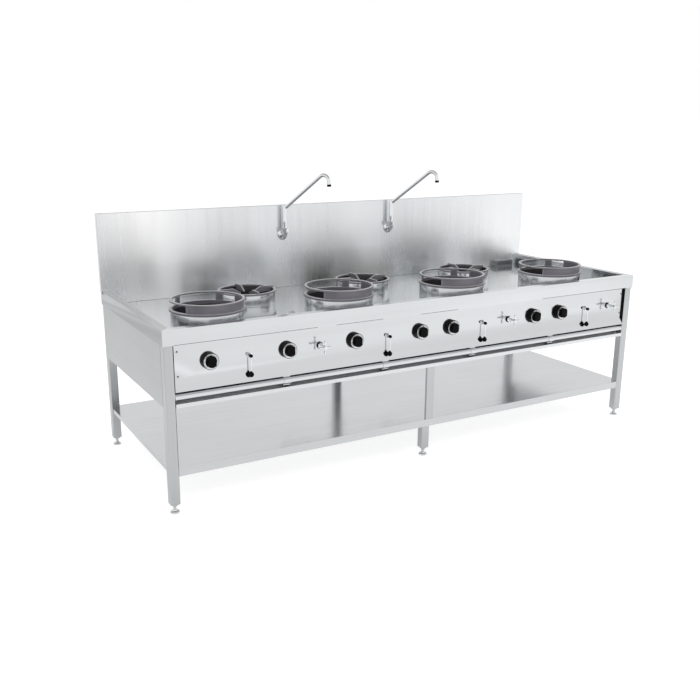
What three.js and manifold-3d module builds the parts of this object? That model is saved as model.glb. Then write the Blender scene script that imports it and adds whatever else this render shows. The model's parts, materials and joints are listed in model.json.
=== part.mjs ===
// A free-standing stainless wok range: four wok burners in front, three pot burners behind,
// a splashback with two swivel spouts, and the gas and water controls on a recessed front panel.
// Millimetres, +Z up, +Y towards the splashback. Sizes are set up with the floor at z = 0, the
// front of the legs at y = 0 and the middle of the range at x = 0, and the whole range is
// centred on its box at the end.
import * as THREE from 'three';
import { mergeVertices } from 'three/addons/utils/BufferGeometryUtils.js';
import Module from 'manifold-3d';

const wasm = await Module();
wasm.setup();

// ---- driving dimensions ----------------------------------------------------------------------

// overall
const rangeLength = 2800; // across the legs
const rangeDepth = 1000; // leg fronts to the back of the splashback
const rimHeight = 850; // floor to the top of the worktop rim
const splashRise = 400; // splashback above the rim
const sheet = 2; // steel sheet
const seat = 0.3; // gap between pieces that rest on each other
const runningGap = 0.5; // gap beside a piece that turns or slides
const past = 1; // how far a cut runs past the face that it opens

// worktop
const rimOverhang = 4; // rim and skirt past the legs
const rimWidth = 40; // flat top of the rim
const wellDepth = 68; // rim down to the floor of the well
const skirtHeight = 71;
const wokHoleRadius = 120; // air opening in the floor under a wok burner
const potHoleRadius = 95;
const drainHoleRadius = 18;
const drainSpigotLength = 40;

// splashback
const splashThickness = 30;
const splashOverhang = 8; // past the legs at each end
const splashEndDrop = 8; // folded ends reach this far below the rim
const splashLip = 15; // lips folded in along the back edges
const splashRibWidth = 60;
const splashRibDepth = 18;
const splashRibInset = 400; // from the range's end to the middle of an outer rib
const splashRibFoot = 40; // above the rim

// legs and feet
const legSize = 45;
const legWall = 3;
const legCorner = 4;
const legClearance = 45; // floor to the bottom of the leg tube
const plugRadius = 17;
const plugDrop = 8; // round insert below the leg tube
const plugThickness = 8;
const middleLegSetback = 31;
const postDepth = 15; // channel between the shelf and the body
const stemRadius = 8;
const stemTop = 115;
const padRadius = 22;
const padHeight = 9;
const padRise = 4; // sloped shoulder of the pad
const hubRadius = 12;
const hubTop = 22;

// shelf
const shelfHeight = 215;
const shelfSetback = 4;
const shelfEndSetback = 6;
const shelfHem = 38;
const shelfSideHem = 22;
const shelfRibHeight = 18;
const shelfRibWidth = 50;
const shelfRibCount = 2;

// body
const panelSetback = 14; // control panel behind the leg fronts
const panelGap = 2.5; // edge of the skirt to the top of the panel
const panelFace = 173.5; // upright face of the panel
const chinDrop = 36; // sloped chin below it
const panelTopReturn = 28;
const chinReturn = 26;
const panelReturn = 15;
const inletGap = 3; // round the supply pipes in the rear panel
const angleLip = 18;
const angleDepth = 45;
const frameTube = 30;
const frameWall = 2;
const innerMember = 160; // from the middle to an inner cross channel
const outerMember = 148; // one bay further out to an outer cross channel
const channelInset = 1; // cross channels inside the tubes' height, top and bottom

// front rail
const railRadius = 17;
const railWall = 2;
const railSetback = 20;
const railGap = 9; // chin to the rail
const angleGap = 10; // rail to the lip of the angle below it
const clampWidth = 36;
const clampStrap = 2;
const clampWeb = 8;
const clampCount = 4;
const railSides = 12;

// burners
const wokCount = 4;
const endBay = 296; // end of the well to the middle of the first wok burner
const burnerShift = 6; // the burners sit this far left of the middle
const wokRow = 320; // behind the leg fronts
const potSetback = 295; // in front of the splashback
const collarWall = 2;
const wokCollarRadius = 175;
const wokCollarHeight = 65.5; // above the floor of the well
const potCollarRadius = 149;
const potCollarHeight = 59;

// wok ring: a cast ring with a lower and an upper flange, and a web with three windows
const ringFlangeRadius = 180;
const ringTopRadius = 177;
const ringBore = 164;
const ringWebRadius = 171;
const ringLipGap = 2.5; // between the collar and the locating lip inside it
const ringLipBore = 165;
const ringLipDrop = 8;
const ringLowerFlange = 11;
const ringUpperFlange = 8.5;
const ringHeight = 54;
const ringWindows = [[17, 41.5], [55.5, 121], [133, 214]]; // degrees, anticlockwise from +x
const wedgeStep = 30; // degrees from one corner of a wedge to the next

// pot grid: a ring with four raised fins
const gridRadius = 154;
const gridBore = 140;
const gridThickness = 9.5;
const gridFinAngles = [0, 90, 180, 270];
const finRise = 9.5; // above the ring
const finDrop = 21.5; // below the top of the ring
const finThickness = 8;
const finInset = 2; // end of a fin inside the edge of the ring
const finShoulder = 78; // where the fin starts to slope down
const finTip = 35;
const finTipDrop = 23;

// burner heads
const dishRadius = 95;
const dishWall = 7;
const dishRise = 18; // rim of the dish above the floor of the well
const dishDepth = 24;
const burnerStemRadius = 14;
const burnerStemDrop = 42; // end of the stem below the floor of the well
const flameRingRadius = 66;
const flameRingWidth = 22;
const flameRingRise = 16;
const pilotRadius = 20;
const pilotRise = 22;
const capRadius = 62;
const capRise = 24; // above the floor of the well
const capEdge = 12;
const armWidth = 16;
const armThickness = 5;
const armLap = 22; // arm over the edge of the floor opening
const armAngles = [90, 210, 330];

// controls
const controlDrop = 88.5; // top of the panel to the row of controls
const knobPlaces = [-0.163, 0.375, 0.879, 1.414, 1.683, 2.456, 2.725]; // in bays from the first wok
const leverPlaces = [0.104, 1.143, 1.972, 2.997];
const tapPlaces = [0.61, 2.212, 3.242];
const knobRadius = 38;
const knobDepth = 23.5; // panel to the dial face
const knobChamfer = 3;
const gripRadius = 26.8;
const gripTipRadius = 25;
const gripLength = 17;
const gripFlat = 19; // flats each side of the grip
const spindleRadius = 4;
const spindleReach = 14; // spindle into the knob
const spindleClearance = 2; // round a spindle in the panel
const valveRadius = 13;
const manifoldRadius = 17;
const manifoldSetback = 78;
const manifoldInset = 110; // from the range's end
const manifoldBend = 42;
const feedRadius = 6;
const feedDrop = 88; // feed pipes below the controls
const feedSetback = 42;
const feedBend = 3; // bend radius over pipe radius
const pilotPipeRadius = 4;
const pilotDrop = 46; // pilot pipes below the controls
const pilotOffset = 40; // from the middle of the burner
const valveThread = 4; // pipes and spindles into a valve body

const cockRadius = 7;
const cockNutRadius = 13;
const cockNutLength = 8;
const leverOffset = 19; // panel to the lever's centre line
const ballDrop = 2; // middle of the ball below the top of the chin
const leverRod = 3.2;
const leverHubRadius = 8;
const leverHubLength = 14;
const ballRadius = 12.5;

const bonnetRadius = 15;
const bonnetLength = 12;
const packingRadius = 9;
const packingLength = 14;
const tapSpindleRadius = 5;
const handleOffset = 51; // panel to the middle of the cross
const handleSpan = 63;
const handleArmRadius = 4;
const handleTipRadius = 5;
const handleHubRadius = 9;
const handleHubLength = 15;
const handleDome = 3;
const handleDomeRadius = 5.4;
const handleTipFlat = 3;
const handleRoot = 1; // arms start this far from the middle of the hub
const waterValveRadius = 13;
const waterValveSetback = 12; // panel to the valve's body
const waterValveRise = 17; // above the controls
const waterValveDrop = 33;
const headerRadius = 8;
const headerDrop = 28;
const headerInset = 80; // from the range's end
const pipeLap = 2; // pipe into the side of a valve's body
const outletRadius = 7;
const outletDrop = 63; // outlet pipes below the controls
const outletBend = 26;

// faucets
const faucetBays = [1, 2]; // each stands behind a wok burner, counted from 0
const faucetRise = 234; // above the rim
const faucetOffset = 32; // splashback to the riser's axis
const escutcheonRadius = 31;
const escutcheonThickness = 7;
const elbowRadius = 17;
const tailRadius = 11;
const tailBack = 18; // tail behind the splashback's front sheet
const tailNutRadius = 17;
const tailNutLength = 6;
const unionRadius = 21;
const unionRise = 16; // above the faucet's axis
const unionHeight = 24;
const spigotRadius = 10;
const riserRadius = 14;
const riserHeight = 126; // above the union
const riserChamfer = 4;
const spoutRadius = 11;
const spoutRise = 37; // degrees above level
const spoutSwing = 27; // degrees towards +x at rest
const spoutLength = 305;
const spoutBend = 34;
const spoutTipDrop = 26;
const spoutTipLean = 5; // degrees short of straight down
const spoutRootDrop = 16; // below the top of the riser
const aeratorRadius = 12.5;
const aeratorLength = 9;
const aeratorRim = 3; // below the end of the pipe

// fittings in the well
const strainerGap = 39; // to the end of the well
const strainerWidth = 135;
const strainerDepth = 34;
const strainerHeight = 36;
const strainerSlots = 9;
const strainerSlotWidth = 6;
const strainerSlotMargin = 7;
const nozzleBay = 0.587; // in bays from the first wok
const nozzleAhead = 50; // in front of the middle of the wok burners
const nozzleRadius = 19;
const nozzleHeight = 24;
const nozzleDome = [[1, 0.4], [0.8, 0.8], [0.4, 1]]; // outline as shares of radius and height
const nozzleStem = 8;
const nozzleStemDrop = 8; // below the floor of the well
const nozzleNutRadius = 14;
const nozzleNutThickness = 6.5;

// how many sides round forms are cut with, and how many cuts a bend has
const fine = 18;
const medium = 12;
const coarse = 8;
const hexagon = 6;
const thinPipe = 5;
const ballRows = 6;
const mainBend = 3;
const outletCuts = 2;
const feedCuts = 1;
const spoutCuts = 6;

// ---- places worked out from the sizes above --------------------------------------------------

const halfLength = rangeLength / 2;
const legInner = halfLength - legSize; // inner face of the corner legs
const rearLegFront = rangeDepth - legSize;
const panelTop = rimHeight - skirtHeight - panelGap;
const chinTop = panelTop - panelFace;
const chinBottom = chinTop - chinDrop;
const railHeight = chinBottom - railGap - railRadius;
const bodyBottom = railHeight - railRadius - angleGap - angleLip; // of the sides and the front angle
const controlHeight = panelTop - controlDrop;
const leverLength = controlHeight - chinTop + ballDrop;
const wellFloor = rimHeight - wellDepth;
const wellUnderside = wellFloor - sheet;
const splashFront = rangeDepth - splashThickness;
const splashTop = rimHeight + splashRise;
const wellHalf = halfLength + rimOverhang - rimWidth;
const wellFront = rimWidth - rimOverhang;
const wellBack = splashFront + sheet + seat;
const legTop = wellUnderside - seat;
const baySpan = legInner - seat; // half the length of what fits between the corner legs
const panelBack = panelSetback + sheet;
const knobBack = panelSetback - runningGap;
const dialFace = panelSetback - knobDepth;
const outletBack = splashFront + (splashThickness - sheet) / 2 + sheet;
const riserRow = splashFront - faucetOffset;
const strainerLeft = wellHalf - strainerGap - strainerWidth;
const drainPlace = [strainerLeft + strainerWidth / 2, splashFront - strainerDepth / 2];
const wokCollarTop = wellFloor + wokCollarHeight;
const potCollarTop = wellFloor + potCollarHeight;
const ringBase = wokCollarTop + seat;
const ringLipRadius = wokCollarRadius - collarWall - ringLipGap;
const gridBase = potCollarTop + seat;
const dishRim = wellFloor + dishRise;
const dishFloor = dishRim - dishDepth;
const burnerStemBottom = wellFloor - burnerStemDrop;
const capTop = wellFloor + capRise;
const valveBack = manifoldSetback - manifoldRadius + valveThread;
const manifoldEnd = halfLength - manifoldInset;
const headerEnd = halfLength - headerInset;
const headerHeight = controlHeight - headerDrop;
const outletHeight = controlHeight - outletDrop;
const waterValveBottom = controlHeight - waterValveDrop;
const faucetHeight = rimHeight + faucetRise;
const unionBottom = faucetHeight + unionRise;
const unionTop = unionBottom + unionHeight;
const riserTop = unionTop + riserHeight;
const spoutRoot = riserTop - spoutRootDrop;
const radians = THREE.MathUtils.degToRad;

// The wok burners stand one bay apart, a pot burner stands behind each pair of them, and the
// controls, the nozzle and the faucets keep their places in the bays.
const firstWok = endBay - wellHalf - burnerShift;
const bay = (2 * (wellHalf - endBay)) / (wokCount - 1);
const bayPlace = (bays) => firstWok + bay * bays;
const wokCentres = Array.from({ length: wokCount }, (_, i) => bayPlace(i));
const potCentres = Array.from({ length: wokCount - 1 }, (_, i) => bayPlace(i + 0.5));
const potRow = splashFront - potSetback;
const knobCentres = knobPlaces.map(bayPlace);
const leverCentres = leverPlaces.map(bayPlace);
const tapCentres = tapPlaces.map(bayPlace);
const faucetCentres = faucetBays.map(bayPlace);
const nozzlePlace = [bayPlace(nozzleBay), wokRow - nozzleAhead];
const splashRibs = [splashRibInset - halfLength, 0, halfLength - splashRibInset];
const shelfRibs = Array.from({ length: shelfRibCount }, (_, i) => {
  return (rangeDepth * (i + 1)) / (shelfRibCount + 1);
});
const crossMembers = [-bay - outerMember, -innerMember, innerMember, bay + outerMember];
const clampCentres = Array.from({ length: clampCount }, (_, i) => {
  return legInner * ((2 * (i + 1)) / (clampCount + 1) - 1);
});

// ---- materials -------------------------------------------------------------------------------

const steel = () => new THREE.MeshStandardMaterial({ color: 0xc9cdcf, metalness: 1, roughness: 0.35 });
const chrome = () => new THREE.MeshStandardMaterial({ color: 0xe6e8ea, metalness: 1, roughness: 0.08 });
const castIron = () => new THREE.MeshStandardMaterial({ color: 0x3b363a, metalness: 0.6, roughness: 0.7 });
const blackPlastic = () => new THREE.MeshStandardMaterial({ color: 0x101010, metalness: 0, roughness: 0.4 });

// ---- solids ----------------------------------------------------------------------------------

// The volume inside a closed geometry, negative where its faces point in.
function signedVolume(geometry) {
  const position = geometry.getAttribute('position');
  const index = geometry.getIndex();
  const a = new THREE.Vector3();
  const b = new THREE.Vector3();
  const c = new THREE.Vector3();
  let volume = 0;
  for (let i = 0; i < index.count; i += 3) {
    a.fromBufferAttribute(position, index.getX(i));
    b.fromBufferAttribute(position, index.getX(i + 1));
    c.fromBufferAttribute(position, index.getX(i + 2));
    volume += a.dot(b.cross(c)) / 6;
  }
  return volume;
}

// A geometry as a solid that can be joined and cut: shared corners merged, faces pointing out.
function solid(source) {
  const bare = source.clone();
  bare.deleteAttribute('normal');
  bare.deleteAttribute('uv');
  const merged = mergeVertices(bare, 1e-4);
  const corners = merged.getIndex().array;
  const inward = signedVolume(merged) < 0;
  const triangles = [];
  for (let i = 0; i < corners.length; i += 3) {
    const [a, b, c] = corners.slice(i, i + 3);
    if (a === b || b === c || c === a) continue;
    triangles.push(a, inward ? c : b, inward ? b : c);
  }
  return new wasm.Manifold(new wasm.Mesh({
    numProp: 3,
    vertProperties: new Float32Array(merged.getAttribute('position').array),
    triVerts: new Uint32Array(triangles),
  }));
}

function joined(pieces) {
  return pieces.reduce((whole, piece) => whole.add(piece));
}

function cut(body, tools) {
  return tools.reduce((rest, tool) => rest.subtract(tool), body);
}

// A block between two opposite corners.
function block(x0, x1, y0, y1, z0, z1) {
  const geometry = new THREE.BoxGeometry(x1 - x0, y1 - y0, z1 - z0);
  geometry.translate((x0 + x1) / 2, (y0 + y1) / 2, (z0 + z1) / 2);
  return solid(geometry);
}

// A profile of [radius, height] points turned about the z axis through (x, y). A ring's profile
// closes on itself, and any other starts and ends on the axis.
function turned(profile, segments, x = 0, y = 0) {
  const ring = profile.every(([radius]) => radius > 0);
  const outline = ring ? [...profile, profile[0]] : profile;
  const geometry = new THREE.LatheGeometry(outline.map(([r, z]) => new THREE.Vector2(r, z)), segments);
  geometry.rotateX(Math.PI / 2);
  geometry.translate(x, y, 0);
  return solid(geometry);
}

// The same, about an axis along y through (x, z): the profile's heights are y values.
function turnedAlongY(profile, segments, x, z) {
  const geometry = new THREE.LatheGeometry(profile.map(([r, y]) => new THREE.Vector2(r, y)), segments);
  geometry.translate(x, 0, z);
  return solid(geometry);
}

function disc(radius, z0, z1, segments, x, y) {
  return turned([[0, z0], [radius, z0], [radius, z1], [0, z1]], segments, x, y);
}

function discAlongY(radius, y0, y1, segments, x, z) {
  return turnedAlongY([[0, y0], [radius, y0], [radius, y1], [0, y1]], segments, x, z);
}

function discAlongX(radius, x0, x1, segments, y, z) {
  const geometry = new THREE.CylinderGeometry(radius, radius, x1 - x0, segments);
  geometry.rotateZ(Math.PI / 2);
  geometry.translate((x0 + x1) / 2, y, z);
  return solid(geometry);
}

function ball(radius, x, y, z, around, down) {
  const geometry = new THREE.SphereGeometry(radius, around, down);
  geometry.translate(x, y, z);
  return solid(geometry);
}

function outlineShape(points) {
  return new THREE.Shape(points.map(([u, v]) => new THREE.Vector2(u, v)));
}

// An outline of [y, z] points pushed along x.
function alongX(points, x0, x1) {
  const geometry = new THREE.ExtrudeGeometry(outlineShape(points), { depth: x1 - x0, bevelEnabled: false });
  geometry.rotateY(Math.PI / 2);
  geometry.rotateX(Math.PI / 2);
  geometry.translate(x0, 0, 0);
  return solid(geometry);
}

// An outline of [x, z] points pushed along y.
function alongY(points, y0, y1) {
  const geometry = new THREE.ExtrudeGeometry(outlineShape(points), { depth: y1 - y0, bevelEnabled: false });
  geometry.rotateX(Math.PI / 2);
  geometry.translate(0, y1, 0);
  return solid(geometry);
}

// An outline of [x, y] points pushed along z.
function alongZ(points, z0, z1) {
  const geometry = new THREE.ExtrudeGeometry(outlineShape(points), { depth: z1 - z0, bevelEnabled: false });
  geometry.translate(0, 0, z0);
  return solid(geometry);
}

// The outline of a folded sheet: a line of points, thickened to its left with mitred folds.
function folded(points, thickness) {
  const path = points.map(([u, v]) => new THREE.Vector2(u, v));
  const inner = path.map((point, i) => {
    const before = i > 0 ? point.clone().sub(path[i - 1]).normalize() : null;
    const after = i < path.length - 1 ? path[i + 1].clone().sub(point).normalize() : null;
    const first = before ?? after;
    const second = after ?? before;
    const normal = new THREE.Vector2(-first.y - second.y, first.x + second.x).normalize();
    const stretch = thickness / normal.dot(new THREE.Vector2(-first.y, first.x));
    return point.clone().addScaledVector(normal, stretch);
  });
  return [...path, ...inner.reverse()].map((point) => [point.x, point.y]);
}

// A centre line through chosen stations, so that a straight takes one step and a bend several.
class StationLine extends THREE.Curve {
  constructor(stations) {
    super();
    this.stations = stations;
  }

  getPoint(t, target = new THREE.Vector3()) {
    const last = this.stations.length - 1;
    const place = THREE.MathUtils.clamp(t, 0, 1) * last;
    const i = Math.min(Math.floor(place), last - 1);
    return target.lerpVectors(this.stations[i], this.stations[i + 1], place - i);
  }

  getPointAt(u, target) {
    return this.getPoint(u, target);
  }

  getTangentAt(u, target = new THREE.Vector3()) {
    const last = this.stations.length - 1;
    const i = Math.round(u * last);
    const before = this.stations[Math.max(i - 1, 0)];
    const after = this.stations[Math.min(i + 1, last)];
    const here = this.stations[i];
    const arriving = here.clone().sub(before).normalize();
    const leaving = after.clone().sub(here).normalize();
    return target.copy(arriving).add(leaving).normalize();
  }
}

// Stations along straight runs between corners, with a round bend at each inner corner.
function bentLine(corners, bendRadius, steps) {
  const points = corners.map((corner) => new THREE.Vector3(...corner));
  const stations = [points[0]];
  for (let i = 1; i < points.length - 1; i += 1) {
    const arriving = points[i].clone().sub(points[i - 1]).normalize();
    const leaving = points[i + 1].clone().sub(points[i]).normalize();
    const turn = arriving.angleTo(leaving);
    const reach = bendRadius * Math.tan(turn / 2);
    const start = points[i].clone().addScaledVector(arriving, -reach);
    const inward = leaving.clone().addScaledVector(arriving, -leaving.dot(arriving)).normalize();
    for (let step = 0; step <= steps; step += 1) {
      const angle = (turn * step) / steps;
      const along = bendRadius * Math.sin(angle);
      const across = bendRadius * (1 - Math.cos(angle));
      stations.push(start.clone().addScaledVector(arriving, along).addScaledVector(inward, across));
    }
  }
  stations.push(points.at(-1));
  return stations;
}

function polygonShape(radius, sides) {
  const points = [];
  for (let i = 0; i < sides; i += 1) {
    const angle = ((i + 0.5) * 2 * Math.PI) / sides;
    points.push([radius * Math.cos(angle), radius * Math.sin(angle)]);
  }
  return outlineShape(points);
}

function tube(stations, radius, sides) {
  return solid(new THREE.ExtrudeGeometry(polygonShape(radius, sides), {
    steps: stations.length - 1,
    extrudePath: new StationLine(stations),
    bevelEnabled: false,
  }));
}

// A named piece of the range.
function piece(name, form, material) {
  const { numProp, vertProperties, triVerts } = form.getMesh();
  const geometry = new THREE.BufferGeometry();
  geometry.setAttribute('position', new THREE.BufferAttribute(new Float32Array(vertProperties), numProp));
  geometry.setIndex(new THREE.BufferAttribute(new Uint32Array(triVerts), 1));
  geometry.computeVertexNormals();
  const mesh = new THREE.Mesh(geometry, material);
  mesh.name = name;
  return mesh;
}

// ---- frame, legs and feet --------------------------------------------------------------------

// A rounded square of [x, y] points about a centre.
function roundedSquare(size, corner, x, y) {
  const reach = size / 2 - corner;
  const points = [];
  for (let quarter = 0; quarter < 4; quarter += 1) {
    const middle = Math.PI / 4 + (quarter * Math.PI) / 2;
    const cx = x + reach * Math.sign(Math.cos(middle));
    const cy = y + reach * Math.sign(Math.sin(middle));
    [-1, 1].forEach((side) => {
      const angle = middle + (side * Math.PI) / 4;
      points.push([cx + corner * Math.cos(angle), cy + corner * Math.sin(angle)]);
    });
  }
  return points;
}

// A leg tube with a round plug in its lower end, bored for the foot's stem.
function legForm(x, y, top) {
  const outer = alongZ(roundedSquare(legSize, legCorner, x, y), legClearance, top);
  const innerHalf = legSize / 2 - legWall;
  const inside = block(x - innerHalf, x + innerHalf, y - innerHalf, y + innerHalf,
    legClearance + plugThickness, top + past);
  const plug = disc(plugRadius, legClearance - plugDrop, legClearance, coarse, x, y);
  const bore = disc(stemRadius + 2 * runningGap, legClearance - plugDrop - past,
    legClearance + plugThickness + past, coarse, x, y);
  return cut(joined([outer.subtract(inside), plug]), [bore]);
}

function footForm(x, y) {
  return turned([
    [0, 0], [padRadius, 0], [padRadius, padHeight], [hubRadius, padHeight + padRise],
    [stemRadius, hubTop], [stemRadius, stemTop], [0, stemTop],
  ], coarse, x, y);
}

const legMiddle = legSize / 2;
const legPlaces = {
  front_left: [-halfLength + legMiddle, legMiddle, legTop],
  front_middle: [0, middleLegSetback + legMiddle, shelfHeight - sheet - seat],
  front_right: [halfLength - legMiddle, legMiddle, legTop],
  rear_left: [-halfLength + legMiddle, rangeDepth - legMiddle, legTop],
  rear_middle: [0, rangeDepth - sheet - seat - legMiddle, legTop],
  rear_right: [halfLength - legMiddle, rangeDepth - legMiddle, legTop],
};

function legs() {
  return Object.entries(legPlaces).map(([side, [x, y, top]]) => {
    return piece(`leg_${side}`, legForm(x, y, top), steel());
  });
}

function feet() {
  return Object.entries(legPlaces).map(([side, [x, y]]) => {
    return piece(`foot_${side}`, footForm(x, y), chrome());
  });
}

// The channel that stands on the shelf and carries the middle of the front.
function middlePost() {
  const back = shelfSetback + postDepth;
  const outline = folded([
    [-legMiddle, back], [-legMiddle, shelfSetback], [legMiddle, shelfSetback], [legMiddle, back],
  ], sheet);
  return piece('front_middle_post', alongZ(outline, shelfHeight + seat, bodyBottom - seat), steel());
}

function squareTubeAlongX(x0, x1, y, z) {
  const outer = block(x0, x1, y, y + frameTube, z, z + frameTube);
  const bore = block(x0 - past, x1 + past, y + frameWall, y + frameTube - frameWall,
    z + frameWall, z + frameTube - frameWall);
  return outer.subtract(bore);
}

// A channel with its open side down.
function channelAlongY(x0, x1, y0, y1, z0, z1) {
  const outer = block(x0, x1, y0, y1, z0, z1);
  const inside = block(x0 + frameWall, x1 - frameWall, y0 - past, y1 + past, z0 - past, z1 - frameWall);
  return outer.subtract(inside);
}

// The welded frame under the well: a tube along the front and the back, and channels between.
// The rear tube is notched round the drain.
function frameRails() {
  const under = legTop - frameTube;
  const frontRow = legSize + seat;
  const [, rearLegRow] = legPlaces.rear_middle;
  const backRow = rearLegRow - legMiddle - seat - frameTube;
  const weld = frameWall / 2;
  const across = crossMembers.map((x) => {
    return channelAlongY(x - frameTube / 2, x + frameTube / 2, frontRow + frameTube - weld, backRow + weld,
      under + channelInset, legTop - channelInset);
  });
  const rails = joined([
    squareTubeAlongX(-baySpan, baySpan, frontRow, under),
    squareTubeAlongX(-baySpan, baySpan, backRow, under),
    ...across,
  ]);
  const [drainX, drainY] = drainPlace;
  const reach = drainHoleRadius + sheet + runningGap;
  const notch = block(drainX - reach, drainX + reach, drainY - reach, drainY + reach,
    under - past, legTop + past);
  return piece('frame_rails', rails.subtract(notch), steel());
}

// ---- sheet metal -----------------------------------------------------------------------------

function shelf() {
  const half = halfLength - shelfEndSetback;
  const back = rangeDepth - shelfSetback;
  const top = shelfHeight;
  const plate = block(-half, half, shelfSetback, back, top - shelfHem, top);
  const hemBottom = top - shelfHem - past;
  const front = shelfSetback + sheet;
  const under = block(-half + sheet, half - sheet, front, back - sheet, hemBottom, top - sheet);
  const shortHems = block(-half - past, half + past, front + shelfHem, back + past,
    hemBottom, top - shelfSideHem);
  const notches = Object.values(legPlaces).filter(([, , legHeight]) => legHeight > top).map(([x, y]) => {
    const reach = legSize / 2 + seat;
    return block(x - reach, x + reach, y - reach, y + reach, hemBottom, top + past);
  });
  const ribs = shelfRibs.map((middle) => {
    const near = middle - shelfRibWidth / 2;
    const far = middle + shelfRibWidth / 2;
    const ribTop = top - sheet;
    const bottom = ribTop - shelfRibHeight;
    const outline = folded([[near, ribTop], [near, bottom], [far, bottom], [far, ribTop]], sheet);
    return alongX(outline, -baySpan, baySpan);
  });
  return piece('under_shelf', joined([cut(plate, [under, shortHems, ...notches]), ...ribs]), steel());
}

// A burner's collar, welded to the floor of the well.
function collarForm(x, y, radius, top) {
  const foot = wellFloor - sheet / 2;
  return turned([
    [radius - collarWall, foot], [radius, foot], [radius, top], [radius - collarWall, top],
  ], fine, x, y);
}

// The pressed top: a flat rim, a skirt on the front and ends, and a deep well with its collars.
function worktop() {
  const half = halfLength + rimOverhang;
  const bottom = rimHeight - skirtHeight;
  const shell = block(-half, half, -rimOverhang, rangeDepth, bottom, rimHeight);
  const under = block(-half + sheet, half - sheet, sheet - rimOverhang, rangeDepth + past,
    bottom - past, rimHeight - sheet);
  const wellOutside = block(-wellHalf - sheet, wellHalf + sheet, wellFront - sheet, wellBack + sheet,
    wellUnderside, rimHeight);
  const wellInside = block(-wellHalf, wellHalf, wellFront, wellBack, wellFloor, rimHeight + past);
  const spigotEnd = wellUnderside - drainSpigotLength;
  const spigot = disc(drainHoleRadius + sheet, spigotEnd, wellUnderside + sheet / 2, medium, ...drainPlace);
  const outletBore = (x) => {
    return disc(outletRadius + 2 * runningGap, rimHeight - sheet - past, rimHeight + past, coarse,
      x, outletBack);
  };
  const floorBore = (radius, sides, x, y) => {
    return disc(radius, wellUnderside - past, wellFloor + past, sides, x, y);
  };
  const bores = [
    disc(drainHoleRadius, spigotEnd - past, wellFloor + past, medium, ...drainPlace),
    floorBore(nozzleStem + runningGap, coarse, ...nozzlePlace),
    ...wokCentres.map((x) => floorBore(wokHoleRadius, medium, x, wokRow)),
    ...potCentres.map((x) => floorBore(potHoleRadius, medium, x, potRow)),
    ...faucetCentres.map(outletBore),
  ];
  const tray = shell.subtract(under).add(wellOutside).subtract(wellInside);
  const collars = [
    ...wokCentres.map((x) => collarForm(x, wokRow, wokCollarRadius, wokCollarTop)),
    ...potCentres.map((x) => collarForm(x, potRow, potCollarRadius, potCollarTop)),
  ];
  return piece('worktop', cut(joined([tray, spigot, ...collars]), bores), steel());
}

function controlPanel() {
  const outline = folded([
    [panelSetback + panelTopReturn, panelTop], [panelSetback, panelTop], [panelSetback, chinTop],
    [0, chinBottom], [chinReturn, chinBottom],
  ], sheet);
  const hole = (radius, sides) => (x) => {
    return discAlongY(radius, -past, panelBack + past, sides, x, controlHeight);
  };
  const holes = [
    ...knobCentres.map(hole(spindleRadius + spindleClearance, hexagon)),
    ...leverCentres.map(hole(cockRadius + runningGap, coarse)),
    ...tapCentres.map(hole(packingRadius + runningGap, coarse)),
  ];
  return piece('control_panel', cut(alongX(outline, -baySpan, baySpan), holes), steel());
}

function sidePanel(name, side) {
  const outside = side * halfLength;
  const inside = side * (halfLength - panelReturn);
  const path = [[inside, legTop], [outside, legTop], [outside, bodyBottom], [inside, bodyBottom]];
  const outline = folded(side < 0 ? path : path.reverse(), sheet);
  return piece(name, alongY(outline, legSize + seat, rearLegFront - seat), steel());
}

// A sheet between the rear legs, folded in at the bottom, with a hole for each supply pipe.
function rearPanel() {
  const inner = rangeDepth - panelReturn;
  const outline = folded([[inner, bodyBottom], [rangeDepth, bodyBottom], [rangeDepth, legTop]], sheet);
  const [legX, legY] = legPlaces.rear_middle;
  const reach = legMiddle + seat;
  const notch = block(legX - reach, legX + reach, inner - past, legY + reach,
    bodyBottom - past, bodyBottom + sheet + past);
  const inlet = (radius, sides, x, z) => {
    return discAlongY(radius + inletGap, rangeDepth - sheet - past, rangeDepth + past, sides, x, z);
  };
  const inlets = [
    inlet(manifoldRadius, medium, manifoldEnd, controlHeight),
    inlet(headerRadius, coarse, headerEnd, headerHeight),
  ];
  return piece('rear_panel', cut(alongX(outline, -baySpan, baySpan), [notch, ...inlets]), steel());
}

// A strap round the front rail, on a web that stands on the angle and reaches up to the chin.
function railClamp(x) {
  const x0 = x - clampWidth / 2;
  const x1 = x + clampWidth / 2;
  const ring = discAlongX(railRadius + seat + clampStrap, x0, x1, railSides, railSetback, railHeight);
  const web = block(x0, x1, railSetback - clampWeb / 2, railSetback + clampWeb / 2,
    bodyBottom + sheet / 2, chinBottom - seat);
  const bore = discAlongX(railRadius + seat, x0 - past, x1 + past, railSides, railSetback, railHeight);
  return cut(joined([ring, web]), [bore]);
}

// The folded angle along the bottom of the front, with the front rail's clamps welded to it.
function frontAngle() {
  const outline = folded([[0, bodyBottom + angleLip], [0, bodyBottom], [angleDepth, bodyBottom]], sheet);
  const clamps = clampCentres.map(railClamp);
  return piece('lower_front_angle', joined([alongX(outline, -baySpan, baySpan), ...clamps]), steel());
}

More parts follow.
